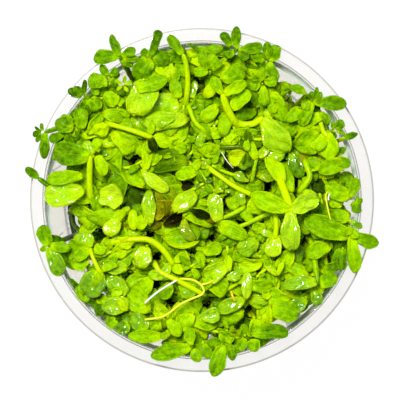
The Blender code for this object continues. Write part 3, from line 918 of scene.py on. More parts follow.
def shoot_path(x, y, top):
    """A small stem's line: up from the gel, inside the wall, then out to its tip."""
    away = max(math.hypot(x, y), 0.001)
    foot = min(FOOT_SHARE * away, FOOT_ROOM) / away
    knee = min(KNEE_SHARE * away, KNEE_ROOM) / away
    sway = chance.uniform(-1, 1)
    points = [(x * foot, y * foot, GEL_TOP - GEL_REACH), (x * foot + sway, y * foot - sway, SWAY_HEIGHT),
              (x * knee, y * knee, min(KNEE_HEIGHT, top - KNEE_DEPTH)), (x, y, top)]
    return smooth_path(points, 5)


def near_wall_light(x, y):
    """The light that reaches the outside of the clump through the clear wall."""
    return WALL_GLOW * rising(math.hypot(x, y), *WALL_RUN)


def add_lower_shoot(growth, x, y, top, length=7.5):
    """Add a shoot's stem and the pairs below its tip."""
    path = shoot_path(x, y, top)
    glow = near_wall_light(x, y)
    tones = [light_at(spot[2], 0.25) + glow for spot in path]
    radii = stem_radii(path, SHOOT_RADIUS)
    radii[-1] = 0.3 * SHOOT_RADIUS
    add_tube(growth, path, radii, tones, sides=6)
    turn = chance.uniform(0, math.pi)
    heights = [spot[2] for spot in path]
    shown = PAIR_DEPTHS if math.hypot(x, y) > INNER_RADIUS else PAIR_DEPTHS[:INNER_PAIRS]
    for depth in shown:
        z = top - depth
        if z < LOWEST_PAIR:
            break
        spot = [np.interp(z, heights, [place[i] for place in path]) for i in range(3)]
        age = 0.9 if chance.random() < 0.10 + 0.006 * depth else 0.0
        add_pair(growth, spot, turn, length * chance.uniform(0.85, 1.15), light_at(z) + glow, age,
                 size=DEEP)
        turn += math.pi / 2


def stands_on_main_stem(x, y, reach=3.2):
    """Whether a whorl is the tip of a main stem and needs no stem of its own."""
    return any(math.dist((x, y), tip[:2]) < reach for tip in main_tips)


print("node depths below a tip:", PAIR_DEPTHS)

# %% [markdown]
# ## Whorls placed one by one
#
# Seen from above, most tips are whorls: leaves that spread from one point. Each is written as
# its middle, its height and its tone, and then its leaves as direction in degrees, length and
# width.

# %% The whorls
WHORLS = [
    (-22.4, 38.6, 61.6, 0.45, [(35, 5, 3), (0, 5.5, 2.5), (-30, 4, 2.5)]),
    (-25.7, 33.7, 59, 0.48, [(200, 6, 4.4), (45, 3.5, 2.2), (-50, 3.5, 2.4), (120, 4, 2.4)]),
    (-25.4, 32, 60, 0.6, [(190, 3.8, 3.2)]),
    (-32.6, 28.2, 58.5, 0.32, [(153, 4.8, 2.4), (130, 3.9, 2.2), (85, 4.9, 1.5)]),
    (-29, 28.2, 58.5, 0.5, [(110, 3.2, 3)]),
    (-31.5, 28.2, 58, 0.52, [(-45, 4.8, 4.2), (-110, 2.4, 1.8)]),
    (-14.1, 39.5, 60, 0.4, [(60, 3.5, 1.6), (238, 7.8, 5.5), (-5, 5.5, 4.5), (160, 3, 3)]),
    (-8.3, 37, 58.5, 0.46, [(60, 6, 4.5), (200, 5.5, 4.5), (-80, 5, 5)]),
    (-6, 27.4, 59.2, 0.5, [(108, 6.8, 3.4)]),
    (-3, 27.4, 58.8, 0.5, [(80, 5.6, 2.2)]),
    (-21.5, 31.5, 64, 0.72, [(20, 2.5, 1.1), (80, 2.5, 1.1), (150, 2.6, 1.2), (220, 2.4, 1), (300, 2.3, 1)]),
    (-23.2, 25.4, 58.5, 0.62, [(135, 5.5, 4), (60, 3, 1.8)]),
    (-35, 21, 60.3, 0.45, [(160, 4.3, 3.5)]),
    (-43.6, 18.5, 61.3, 0.34, [(100, 2.6, 1.2), (145, 2.8, 0.9), (195, 2.9, 2), (235, 3.2, 1.4)]),
    (2.2, 35.3, 61.5, 0.52, [(120, 5.5, 2.6), (82, 4.8, 3.5), (40, 4.8, 2), (190, 4.5, 3)]),
    (9.4, 40.8, 61, 0.45, [(-30, 4, 2.5), (200, 3.5, 2.5)]),
    (17.7, 38.1, 59.5, 0.42, [(88, 5.4, 2.8), (48, 5.5, 4.5), (-60, 6, 3.5), (140, 5, 3.5)]),
    (16.6, 32, 60, 0.5, [(90, 4.5, 3), (180, 3.5, 3.5), (-85, 6.3, 3), (10, 4, 3)]),
    (30.4, 26.8, 61.6, 0.42, [(100, 3, 1.7), (75, 4.3, 1.7), (50, 3.6, 1.7), (20, 3, 1.7), (210, 3.5, 2.5)]),
    (32, 24.3, 60.4, 0.48, [(-50, 4.5, 2.6)]),
    (36.5, 19, 59.5, 0.5, [(55, 3.6, 2.6), (-15, 3, 1.6), (110, 2.6, 1.6)]),
    (41.7, 0.2, 61.2, 0.5, [(-10, 2.4, 1.8), (-75, 4, 3.3), (30, 1.6, 1)]),
    (40.2, -10.2, 61, 0.66, [(135, 2.8, 2.4), (30, 3, 3.2), (80, 3, 1.5)]),
    (-42.3, -12.6, 60.8, 0.5, [(215, 2.4, 1.6), (-6, 6.4, 3.2), (60, 2, 1)]),
    (-30.4, -13.6, 59, 0.52, [(165, 6.6, 4.6), (112, 5.2, 4.4), (212, 5.4, 3.4), (-10, 4, 3.4)]),
    (-29, 12.6, 60.6, 0.68, [(135, 4.8, 3), (200, 6.2, 3.5), (85, 4.4, 2.8), (-70, 6.4, 3.4)]),
    (-2.8, -40.4, 60.9, 0.56, [(95, 5.6, 3.3), (-60, 4.5, 3.2)]),
    (7.2, -40, 59.6, 0.5, [(-72, 4.3, 2.8), (60, 3, 2.2)]),
    (11.9, -37.4, 59.2, 0.46, [(-115, 4.4, 2.8), (20, 3.4, 2.6)]),
    (14.7, -37.6, 60, 0.52, [(-92, 4.1, 4.2)]),
]
TOP_LIGHT = 0.09
BUD_DEPTH = 0.8

for x, y, z, tone, leaves in WHORLS:
    growth = tuft_at(x, y)
    for degrees, length, width in leaves:
        angle = math.radians(degrees)
        base = step_from((x, y, z), angle, 0.5, -0.2)
        tip = step_from((x, y, z), angle, length, length * chance.uniform(-0.3, 0.3))
        add_leaf(growth, base, tip, width, chance.uniform(-28, 28),
                 tone + TOP_LIGHT - rim_shade(*tip[:2]) + chance.uniform(-0.1, 0.1),
                 **own_bend(0.03), finish=finish_at(x, y))
    if not stands_on_main_stem(x, y):
        add_lower_shoot(growth, x, y, z - BUD_DEPTH)
print("whorls:", len(WHORLS))

# %% [markdown]
# ## Single leaves placed one by one
#
# Where one leaf of a shoot hides its partner, only that leaf is written: base, height, tip,
# width and tone, and, for the few that need it, how it is bent, aged or wet. Chance fills in
# what isn't written, so that the list stays short and no leaf is stiff or flat.

# %% The single leaves
SINGLES = [
    # North-west
    (-18, 30.8, 61.8, -9.5, 33.1, 4.2, 0.5, {"arch": 0.02, "cup": 0.0, "base_width": 0.7, "fold": 0.0}),
    (-3.8, 22.3, 59, -16.2, 21.5, 4.8, 0.62, {"finish": WET, "arch": 0.1, "cup": -0.3}),
    (-14.1, 39.5, 60.5, -11.6, 46.6, 2.4, 0.34, {"base_width": 0.5, "widest": 0.8, "bow": -0.08}),
    (-33.1, 19.3, 59, -33.7, 25.4, 3.5, 0.5),
    (-31.5, 17.9, 59, -27.6, 24, 3.2, 0.52),
    (-35, 19.9, 60.6, -40.3, 21.5, 4.0, 0.42),
    (-38, 18.2, 59.6, -42, 16.3, 2.4, 0.48),
    (-37.5, 19.3, 59.8, -35.9, 15.3, 2.2, 0.4),
    (-33.8, 18, 58.8, -36.2, 19.4, 2.2, 0.85),
    (-25.4, 20.4, 59.5, -30.4, 18.4, 4.2, 0.88),
    (-27.3, 24, 58, -21.3, 22.9, 3.5, 0.5),
    (-13.5, 17.4, 58.8, -8.3, 15.2, 3.5, 0.66),
    (-24.8, 18.5, 58.5, -17.1, 14.4, 4.9, 0.6, {"arch": 0.14}),
    (-9.4, 16.6, 57.8, -2.5, 16.8, 2.4, 0.82),
    (-8.8, 15.2, 57, -3.3, 14.6, 2.6, 0.74),
    (-15.7, 7.7, 59, -15.2, 16.3, 2.8, 0.66),
    (-14.4, 9.7, 58, -11.6, 13.5, 2.6, 0.56),
    (-23, 14.5, 57.5, -17.5, 18.2, 3.4, 0.5, {"finish": WET}),
    # North
    (1.4, 37, 62.5, -0.3, 41.6, 2.0, 0.5),
    (-0.6, 41.1, 60.5, -3.9, 42.8, 0.9, 0.4),
    (8, 42, 61, 5.2, 45.8, 2.4, 0.42),
    (9.9, 40.8, 61, 16.6, 42.2, 3.0, 0.44),
    (5.2, 33.4, 63, 11.9, 35.1, 5.0, 0.5),
    (8, 24.8, 62, 13, 29.8, 4.5, 0.56, {"base_width": 0.3, "widest": 0.66}),
    (18.8, 29.8, 59.5, 22.4, 21.5, 4.6, 0.5),
    (4.4, 25.9, 59.5, -0.3, 21.8, 3.6, 0.6),
    (-2.8, 25.9, 56, 3, 26.8, 2.8, 0.22),
    (1.7, 19.3, 58, 5.5, 17.4, 3.0, 0.74),
    (6.6, 19.3, 58, 9.9, 15.7, 4.2, 0.7),
    (-1.4, 14.4, 57.6, 5.5, 13.8, 3.8, 0.6),
    (11.9, 18.5, 56.5, 16.6, 14.6, 3.6, 0.3, {"age": 0.3}),
    (9.2, 18.8, 58.2, 15.6, 18.4, 3.4, 0.5),
    (28.7, 29, 61.6, 24, 30.9, 2.4, 0.46),
    (27, 25.4, 59, 23.2, 21.5, 3.0, 0.5),
    # East
    (33.1, 23.2, 59.6, 26.5, 19.9, 3.8, 0.56),
    (32.6, 17.7, 59.4, 25, 15.2, 6.8, 0.42, {"arch": 0.08}),
    (34.8, 18.8, 60.8, 34, 11.3, 7.0, 0.66, {"arch": 0.06}),
    (39.2, 17.1, 59.8, 42.8, 18.2, 1.7, 0.34, {"base_width": 0.9, "widest": 0.3}),
    (37.5, 12.2, 59.2, 39.4, 14.4, 1.9, 0.5),
    (36.7, 11.2, 58.8, 40.8, 9.7, 3.1, 0.5),
    (14.9, 11, 59, 11.9, 16.8, 2.4, 0.6),
    (15.5, 11.6, 59, 18.2, 14.9, 2.2, 0.6),
    (16.6, 11.6, 58.6, 22.9, 12.4, 3.5, 0.6, {"finish": WET}),
    (22.4, 4.2, 61.2, 17.8, 11.9, 4.2, 0.72, {"arch": 0.05, "base_width": 0.4, "widest": 0.62}),
    (24.8, 2.2, 60, 22.2, 10.4, 2.8, 0.4, {"arch": 0.08}),
    (32.6, 8.8, 58.6, 28, 10.4, 4.2, 0.4),
    (24.3, 13.2, 57.4, 27.6, 6, 3.6, 0.3),
    (39.5, 9.7, 58.4, 32, 7.7, 4.0, 0.5),
    (33, 6.4, 57.2, 36.5, 8, 2.6, 0.7),
    (38.6, -1.2, 58.8, 34.8, 0.2, 3.2, 0.56),
    (40.6, -5, 59, 35, -3.8, 4.2, 0.5),
    (35.3, -3.3, 56.5, 30, -2.2, 3.4, 0.22),
    (30, -1.8, 57.8, 27, 3.4, 2.8, 0.62),
    (40.8, -5.8, 61, 43.9, -7.7, 1.6, 0.5, {"finish": WET}),
    (38.8, -13.4, 59.2, 38.4, -19.4, 4.2, 0.4),
    (35.3, -12.7, 58.4, 28.7, -15.5, 4.2, 0.42),
    (32.3, -23.2, 60.4, 37.3, -21.4, 4.0, 0.46),
    (33.4, -19.9, 60, 37.5, -17.7, 3.2, 0.44),
    (29.3, -20.7, 59.4, 22.6, -17.1, 3.4, 0.5),
    (30, -14, 58.8, 29.6, -20, 2.4, 0.56),
    (20.7, -20.7, 60.4, 22.3, -16.9, 1.5, 0.95),
    (17.4, -18.2, 59.8, 20.7, -20.7, 1.4, 0.9),
    # Centre
    (-15.7, 3.6, 58.6, -22.4, 7.7, 3.3, 0.56),
    (-16.6, 8, 60, -9.4, 2.2, 3.3, 0.86, {"finish": WET}),
    (-3.9, 10.6, 58.4, -14.2, 8.8, 6.0, 0.22, {"age": 0.3, "cup": 0.1, "twist": 0, "finish": LEAF}),
    (-1.4, 7.7, 60, -7.5, 6.6, 3.8, 0.56, {"finish": LEAF}),
    (-8.3, -3, 60, -1.4, 2.2, 4.6, 0.76),
    (-14.4, -6.9, 60, -14.4, 2.8, 3.6, 0.58, {"finish": WET, "fold": 0.0, "twist": 0, "arch": 0.12}),
    (-28.4, 0.8, 59.4, -21.5, 0.6, 6.2, 0.88, {"arch": 0.12}),
    (-18.8, -8.3, 59, -19, -2.5, 2.5, 0.8),
    (-17.1, -8.3, 59.4, -15.7, -3.9, 3.0, 0.8),
    (-22.4, -5.5, 60, -26.8, -9.3, 4.2, 0.95),
    (-20.7, -3.6, 58.6, -32, -4.8, 4.6, 0.54),
    (-10.2, -9.4, 56.5, -12.8, -6.4, 3.0, 0.5, {"age": 0.5}),
    (-12.6, -5.4, 59.4, -10.8, -3.0, 2.8, 0.62, {"age": 1.0, "cup": 0.3}),
    (-10.9, -10.2, 58, -0.4, -8.4, 5.2, 0.44, {"cup": 0.4, "base_width": 0.25}),
    (-5.2, -5.2, 60.6, -1.8, -11.4, 2.8, 0.5, {"age": 0.45, "finish": WET, "bow": -0.16, "twist": 0}),
    (-10.6, -7, 59.6, -5.2, -3.9, 2.6, -0.1, {"age": 1.0, "cup": 0.6, "arch": 0.2, "finish": LEAF}),
    (-10.2, -11, 59, -0.6, -11.2, 1.4, 0.85, {"bow": -0.08}),
    (-5.4, -3.6, 58.6, 3.2, -6.8, 4.4, 0.66, {"cup": 0.5}),
    (-3.4, -2.6, 61.4, 2.2, -4.6, 2.2, -0.1, {"age": 0.5, "arch": 0.02, "cup": 0.5, "finish": LEAF}),
    (-12.2, 2.6, 58, -9.8, -4.4, 2.6, 0.4, {"age": 0.8}),
    (-11.2, 2.8, 57.8, -6.4, -0.6, 3.6, 0.5, {"age": 0.5}),
    # The four leaves below lie low in the dark gaps: their near-black tone is painted shade, on top of their
    # age.
    (-22.8, 2.4, 53.6, -15.7, -2.8, 6.8, 0.0, {"age": 0.25, "finish": LEAF}),
    (6.4, 11.4, 47, 11.4, 8.2, 6.4, 0.02, {"age": 0.4}),
    (-1.2, 31.4, 53, 1.6, 29, 4.6, 0.08, {"age": 0.3}),
    (30.4, 5.2, 53, 34.6, 1.6, 5.0, 0.02, {"age": 0.4}),
    (-0.6, 9.4, 57, 5.5, 10.2, 3.0, 0.4, {"age": 0.2}),
    (13, 12.4, 58, 7.2, 11.6, 4.2, 0.9, {"age": 0.3, "finish": LEAF}),
    (10.4, 8.8, 58.4, 13.8, 12.2, 3.2, 0.16, {"finish": LEAF}),
    (12.6, 5.2, 57, 9.2, 8.6, 3.0, -0.1, {"age": 0.6, "finish": LEAF}),
    (-14.4, 17.2, 59.8, -12.8, 13.2, 2.4, -0.1, {"age": 0.5, "finish": LEAF}),
    (-5.2, 2.6, 58.4, -3.2, 5.2, 2.0, -0.1, {"age": 0.9, "finish": LEAF}),
    (15.5, 6.6, 57.5, 20.4, 7.2, 3.0, 0.5, {"age": 0.3, "finish": WET}),
    (10.5, 1.1, 58.6, 7.7, -2.5, 3.2, 0.62),
    (4.4, -6.1, 60, 2.8, 2.2, 3.8, 0.6, {"finish": WET}),
    (4.4, -6.6, 59, 12.7, -10.5, 4.2, 0.56),
    (16.8, -3.3, 59.6, 12.4, -1.7, 2.2, 0.84),
    (13.8, -6.1, 59, 10.8, -3, 2.6, 0.6),
    (17.7, -7.2, 58.6, 13.8, -8.6, 3.4, 0.6),
    (20.1, -9.7, 60.6, 18.8, -15.7, 4.2, 0.8, {"finish": WET, "cup": 0.4}),
    (15.5, -11, 59.4, 9.7, -14.4, 4.6, 0.52, {"finish": WET}),
    (9.9, -11, 57.5, 4.7, -11.9, 3.4, 0.36),
    (0.3, -14.6, 59, 5.5, -12.6, 3.4, 0.6),
    (0.4, -18.8, 59, -1.1, -14.1, 2.4, 0.5),
    (-6.1, -12.4, 57, -6.1, -17.1, 3.4, 0.26),
    # South-west
    (-31.4, -15.6, 58.4, -35.9, -18.2, 3.6, 0.62),
    (-27.9, -19.3, 58.6, -31.4, -26.6, 6.4, 0.52, {"arch": 0.06}),
    (-28.4, -18.8, 60, -28.1, -24, 2.9, 0.68),
    (-19.9, -11.9, 59.4, -24.8, -15.2, 3.8, 0.78),
    (-18.2, -11.2, 60, -24.3, -12, 3.4, 0.9),
    (-15.2, -12.7, 60.2, -17.1, -18.8, 4.6, 0.72, {"finish": WET}),
    (-18.8, -13.8, 57.6, -23.2, -18.8, 4.2, 0.4),
    (-20.4, -18.8, 58.6, -27, -17.7, 3.6, 0.5),
    (-20.7, -25.9, 58.8, -26.2, -21.5, 4.4, 0.46, {"finish": WET}),
    (-21.8, -24.8, 60, -25, -25.4, 2.4, 0.72),
    (-5.2, -20.1, 59.2, -8.8, -17.1, 3.0, 0.76),
    (-7.6, -21, 58.8, -14.9, -20.4, 2.8, 0.6),
    (-8.5, -22.8, 58, -11.6, -27, 3.6, 0.5),
    (-6, -23, 58.4, -2.4, -27.2, 4.0, 0.5),
    (-14.4, -30.9, 59, -21, -25.2, 5.8, 0.56),
    (-14, -21.4, 58.2, -17.6, -26, 4.4, 0.56),
    (-26.4, -29.2, 57.6, -29.4, -31.4, 3.2, 0.34),
    (-19.9, -28.4, 60, -27.5, -29.9, 4.6, 0.74, {"finish": WET}),
    (-22.9, -26.8, 61.2, -20.4, -30.4, 2.0, 0.95),
    (-23.7, -32.4, 58.8, -26.2, -34.5, 3.3, 0.6),
    (-19.9, -33.7, 59, -23.5, -36.2, 3.5, 0.46, {"finish": WET}),
    (-15.2, -35.9, 59.6, -19.6, -31.5, 4.2, 0.5, {"finish": WET}),
    (-10.8, -37.4, 59.4, -20.4, -37.3, 3.4, 0.62),
    (-11.6, -32.6, 58.4, -15, -36, 4.2, 0.56),
    (-8.8, -36, 60, -11.2, -38, 2.0, 0.7),
    # South
    (-9.4, -32.6, 59.4, -5.8, -37.3, 3.2, 0.56),
    (-2.5, -31.2, 59.6, -6.3, -35.3, 4.2, 0.6),
    (-2.8, -34, 59, 4.4, -34, 4.4, 0.54),
    (0, -32.6, 60, 4.9, -31, 3.8, 0.6),
    (11.3, -30.9, 58.6, 5.2, -33.7, 3.8, 0.4),
    (11.9, -27, 60, 4.1, -30.4, 3.8, 0.56, {"finish": WET}),
    (14.4, -32.6, 59.6, 13.8, -37.3, 3.4, 0.62),
    (4.6, -36.6, 58.6, 8.8, -38.4, 3.2, 0.42),
    (0.3, -39.5, 59.8, 1.9, -43.6, 2.8, 0.54),
    (13.6, -36.7, 60.4, 23.7, -36.7, 4.3, 0.48, {"arch": 0.08}),
    (18.8, -29.3, 59.4, 26.8, -31.6, 5.4, 0.5),
    (18.4, -34.4, 60, 18.3, -29, 1.4, 0.9),
    (16.6, -17.1, 60.4, 9.7, -17.1, 4.1, 0.72, {"arch": 0.12}),
    (6.9, -17.4, 60, 0.3, -21, 4.5, 0.66, {"finish": WET}),
    (1.1, -22.7, 59.6, 6.8, -25.1, 5.0, 0.66),
    (12.1, -23.5, 59.6, 19.6, -23.5, 3.7, 0.58),
    (7.5, -19.6, 61, 7, -14.9, 1.9, 0.84),
    (12.1, -27.3, 60.6, 12.4, -19.6, 2.8, 0.78, {"arch": 0.04}),
    (6.7, -21.2, 60, 10.8, -20.8, 2.6, 0.6, {"finish": WET}),
    (24.3, -27.6, 60, 18.2, -25.2, 4.4, 0.52),
    (17.6, -27.4, 59.6, 17.4, -24.4, 2.4, 0.7),
    (28.7, -27, 59.2, 24.3, -30.4, 3.6, 0.46, {"finish": WET}),
    (30.3, -24.8, 59, 32.3, -29, 2.8, 0.46, {"finish": WET}),
]
# A cupped leaf is wider than it looks from above.
CUPPED_WIDER = 1.12

for x, y, z, tip_x, tip_y, width, tone, *manner in SINGLES:
    growth = tuft_at(x, y)
    length = math.dist((x, y), (tip_x, tip_y))
    shape = {**own_bend(twist=28), "finish": finish_at(x, y, 0.5), **dict(*manner)}
    tip = (tip_x, tip_y, z + length * chance.uniform(-0.35, 0.2))
    add_leaf(growth, (x, y, z), tip, width * CUPPED_WIDER, chance.uniform(-28, 28),
             tone + TOP_LIGHT - rim_shade(tip_x, tip_y) + chance.uniform(-0.08, 0.08), **shape)
    if not stands_on_main_stem(x, y, 2.0):
        add_lower_shoot(growth, x, y, z - BUD_DEPTH)
print("single leaves:", len(SINGLES))

# %% [markdown]
# ## Small stems that lie over the leaves
#
# A few thin stems lean out over their neighbours before their tips turn up, and show their
# whole length from above. They are tubes along a few points, each fed by a stem from the gel,
# and both ends dive under the leaves, because a cut end would show.

# %% The leaning stems: points, radius, tone and age
LEANING = [
    ([(-24.8, 20.7, 59.5), (-19.9, 19.3, 60.6), (-14.4, 17.4, 60.2)], 0.95, 0.9, 0.0),
    ([(-3.3, 24.8, 59), (-1.9, 21.5, 59.8), (0.8, 19, 58.6)], 0.9, 0.8, 0.0),
    ([(14.9, 11.2, 59), (14.4, 8.8, 58.8), (13.8, 5.5, 57.6)], 0.7, 0.7, 0.0),
    ([(32.6, 21, 59.6), (33.4, 18.6, 60.6), (34.6, 17.4, 61)], 0.9, 0.85, 0.0),
    ([(28.7, 9.6, 58.8), (29.6, 6.4, 59.4), (27.2, 2.8, 58.6)], 1.1, 0.75, 0.0),
    ([(2.5, 8.3, 59.6), (5.5, 6.1, 60.6), (8.3, 4.1, 61), (11.3, 2.5, 61),
      (14.6, 1.1, 60.6)], 0.85, 0.95, 0.0),
    ([(-0.3, 7.5, 58.6), (1.4, 5.1, 59.2), (3, 2.8, 58.8)], 0.6, 0.7, 0.0),
    ([(5.5, -5, 59.6), (8.4, -3.8, 60.4), (11.3, -2.2, 60)], 0.8, 0.8, 0.0),
    ([(9.9, -7.5, 59.6), (13.4, -6, 60.4), (16.6, -4.4, 60.8), (18.8, -3.6, 60.4)], 0.8, 0.8, 0.0),
    ([(20.1, -4.2, 61), (20.4, -7, 61.4), (20.1, -10, 60.8)], 0.95, 0.9, 0.0),
    ([(-24.2, -11.6, 60), (-19, -10.8, 61), (-14.4, -11, 61.2), (-10.8, -13.6, 60.8),
      (-8.3, -17.1, 59.8)], 1.1, 0.95, 0.0),
    ([(-12.7, -18, 60), (-11.4, -19.8, 60.6), (-6.6, -22.1, 61), (-0.4, -25.5, 60.2)], 0.95, 0.95, 0.0),
    ([(-30.6, -14.2, 60), (-29.6, -16.6, 60.6), (-28.2, -19.6, 60.4)], 0.8, 0.9, 0.0),
    ([(-5.2, -13, 59), (-3.8, -15.6, 59.4), (-3.3, -18.4, 58.8)], 0.5, 0.7, 0.0),
    ([(5.6, 14.4, 58.6), (9, 14.6, 59.2), (12.6, 14.2, 58.8)], 0.9, 0.34, 0.3),
    ([(-12.4, -3.2, 57), (-11.2, -4.2, 57.8), (-10.6, -5.4, 57.4)], 1.0, 0.6, 0.9),
    ([(-36, -3.6, 46), (-35.6, -6.6, 49), (-33.8, -8.6, 52)], 0.8, 0.1, 0.0),
]
LEAN_DIVE = 2.2
LEAN_DROP = 0.6
LEAN_LEAF = 4.6

for points, radius, tone, age in LEANING:
    growth = tuft_at(*points[1][:2])
    points = [np.array(point, float) - (0, 0, LEAN_DROP) for point in points]
    start, end = points[0], points[-1]
    before = start + 0.35 * (start - points[1]) - (0, 0, LEAN_DIVE)
    after = end + 0.2 * (end - points[-2]) - (0, 0, 0.5 * LEAN_DIVE)
    path = smooth_path([before, *points, after], 6)
    last = len(path) - 1
    radii = [radius * (1.0 - 0.3 * i / last) * (0.9 + 0.1 * math.cos(9 * i / last)) for i in range(last + 1)]
    add_tube(growth, path, radii, [tone] * (last + 1), age, sides=10)
    heading = math.atan2(end[1] - points[-2][1], end[0] - points[-2][0])
    add_pair(growth, end, heading + math.pi / 2, LEAN_LEAF, 0.8 * tone, age)
    add_lower_shoot(growth, start[0], start[1], start[2] - LEAN_DIVE, 5.0)
print("leaning stems:", len(LEANING))

# %% [markdown]
# ## The shoots in between
#
# Everything between the placed leaves is more of the same plant. These shoots are spread by
# chance, from a fixed seed, so the clump is the same on every run. They keep apart from each
# other, stay lower than the placed leaves and leave the dark gaps open.

# %% The shoots in between
AXIS = (0.0, 0.0, 0.0)
FILL_TRIES = 3000
FILL_SPACING = 3.2
FILL_RADIUS = 39.0
FILL_LEVEL = 50
FILL_TOPS, GAP_TOPS = (50.5, 55), (44, 49)
FILL_PAIRS = ((0.0, 8.4), (0.9, 6.2), (1.8, 3.4))
fill_spots = []
for attempt in range(FILL_TRIES):
    turn = chance.uniform(0, 2 * math.pi)
    away = FILL_RADIUS * math.sqrt(chance.random())
    spot = step_from(AXIS, turn, away)[:2]
    apart = all(math.dist(spot, other) > FILL_SPACING for other in fill_spots)
    if apart and not in_gap(*spot, FILL_LEVEL, -1.0):
        fill_spots.append(spot)

for x, y in fill_spots:
    top = chance.uniform(*(GAP_TOPS if in_gap(x, y, FILL_LEVEL, 1.0) else FILL_TOPS))
    growth = tuft_at(x, y)
    turn = chance.uniform(0, math.pi)
    tone = chance.uniform(0.3, 0.6) + 0.4 * near_wall_light(x, y)
    # Each higher pair is painted a little lighter, as painted light.
    for step, length in FILL_PAIRS:
        add_pair(growth, (x, y, top + step), turn, length, tone + 0.04 * step, 0.0, (-0.1, 0.4))
        turn += math.pi / 2
    add_lower_shoot(growth, x, y, top)
print("shoots in between:", len(fill_spots))

# %% [markdown]
# ## Side shoots
#
# Thin side shoots rise between the leaves, wander a short way and end in two small pairs. They
# break up the even spread of the filling shoots. One that would cross a gap or run out over the
# rim is drawn again, until there are enough.

# %% Side shoots that wander between the leaves
SIDE_SHOOTS = 46
SIDE_RADIUS, SIDE_ROOM = 36.0, 38
SIDE_PAIRS = ((3.4, math.pi / 2), (2.2, 0.0))
made_shoots = 0
while made_shoots < SIDE_SHOOTS:
    turn = chance.uniform(0, 2 * math.pi)
    away = SIDE_RADIUS * math.sqrt(chance.random())
    heading = chance.uniform(0, 2 * math.pi)
    reach = chance.uniform(4.5, 8.5)
    bend = chance.uniform(-0.9, 0.9)
    start = step_from(AXIS, turn, away, chance.uniform(54, 57))
    middle = step_from(start, heading, 0.5 * reach, 1.6)
    end = step_from(middle, heading + bend, 0.5 * reach, 0.6)
    if math.hypot(*end[:2]) > SIDE_ROOM or any(in_gap(*spot, 0.3) for spot in (start, middle, end)):
        continue
    growth = tuft_at(*start[:2])
    tone = chance.uniform(0.4, 0.7)
    path = smooth_path([step_from(start, 0.0, 0.0, -8), start, middle, end], 5)
    last = len(path) - 1
    radii = [chance.uniform(0.55, 0.8) * (1 - 0.4 * i / last) for i in range(last + 1)]
    add_tube(growth, path, sorted(radii, reverse=True), [light_at(spot[2]) + 0.2 for spot in path])
    for length, side in SIDE_PAIRS:
        add_pair(growth, end, heading + bend + side, length, tone, 0.0, (0.0, 0.6))
    made_shoots += 1
print("side shoots:", made_shoots)

# %% [markdown]
# ## The outermost row
#
# Against the clear collar the leaves stand in a close row that follows the rim. Shoots spread by
# chance would leave holes there, so this row is set out in steps round the cup, a little
# unevenly. Its pairs lie along the wall and across it by turns.

# %% The row that presses on the rim
ROW_RADIUS = 40.4
ROW_COUNT = 64
ROW_PAIRS = ((0.0, 6.5, math.pi / 2), (0.9, 5.4, 0.0), (1.8, 3.4, math.pi / 2))
for i in range(ROW_COUNT):
    turn = 2 * math.pi * (i + chance.uniform(-0.3, 0.3)) / ROW_COUNT
    away = ROW_RADIUS + chance.uniform(-0.8, 0.4)
    x, y, top = step_from(AXIS, turn, away, chance.uniform(52.5, 56.5))
    if in_gap(x, y, top, 0.8):
        continue
    growth = tuft_at(x, y)
    tone = chance.uniform(0.25, 0.55)
    for step, length, side in ROW_PAIRS:
        add_pair(growth, (x, y, top + step), turn + side, length, tone, 0.0, (-0.1, 0.5), MOUTH_RADIUS)
print("places in the row:", ROW_COUNT)

# %% Each tuft becomes one mesh
for name, growth in tuft_growths.items():
    tuft = growth.make("living_" + name, finishes)
    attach(tuft, "root")
    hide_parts(name)
    print(name, "faces:", len(growth.faces))

# %% [markdown]
# ## Roots
#
# Aerial roots grow from the nodes and lie over the leaves. A young one is white, and it turns
# yellow and then orange as it ages in the light. In the gel each stem ends in a few fine roots
# that spread outward. Root tissue is soft, pale and lets light through, with fine fibres in it.

# %% The root finish
def root_material(name, hex_code, pale_code):
    """A fine root: soft, pale and slightly see-through tissue."""
    made = start_material(name, {
        "Roughness": 0.4, "Subsurface Weight": 0.4, "Subsurface Radius": (1.0, 1.0, 0.6),
        "Subsurface Scale": 0.6 * MM})
    tree = made.node_tree
    place = add_node(tree, "ShaderNodeTexCoord").outputs["Object"]
    fibre = add_node(tree, "ShaderNodeTexNoise", None, {"Scale": 1 / STREAK_SIZE, "Detail": 2.0},
                     {"Vector": place})
    colour = add_node(tree, "ShaderNodeMix", {"data_type": "RGBA"},
                      {6: linear(hex_code), 7: linear(pale_code)}, {"Factor": fibre.outputs["Fac"]})
    tree.links.new(colour.outputs[2], tree.nodes["Principled BSDF"].inputs["Base Color"])
    return made


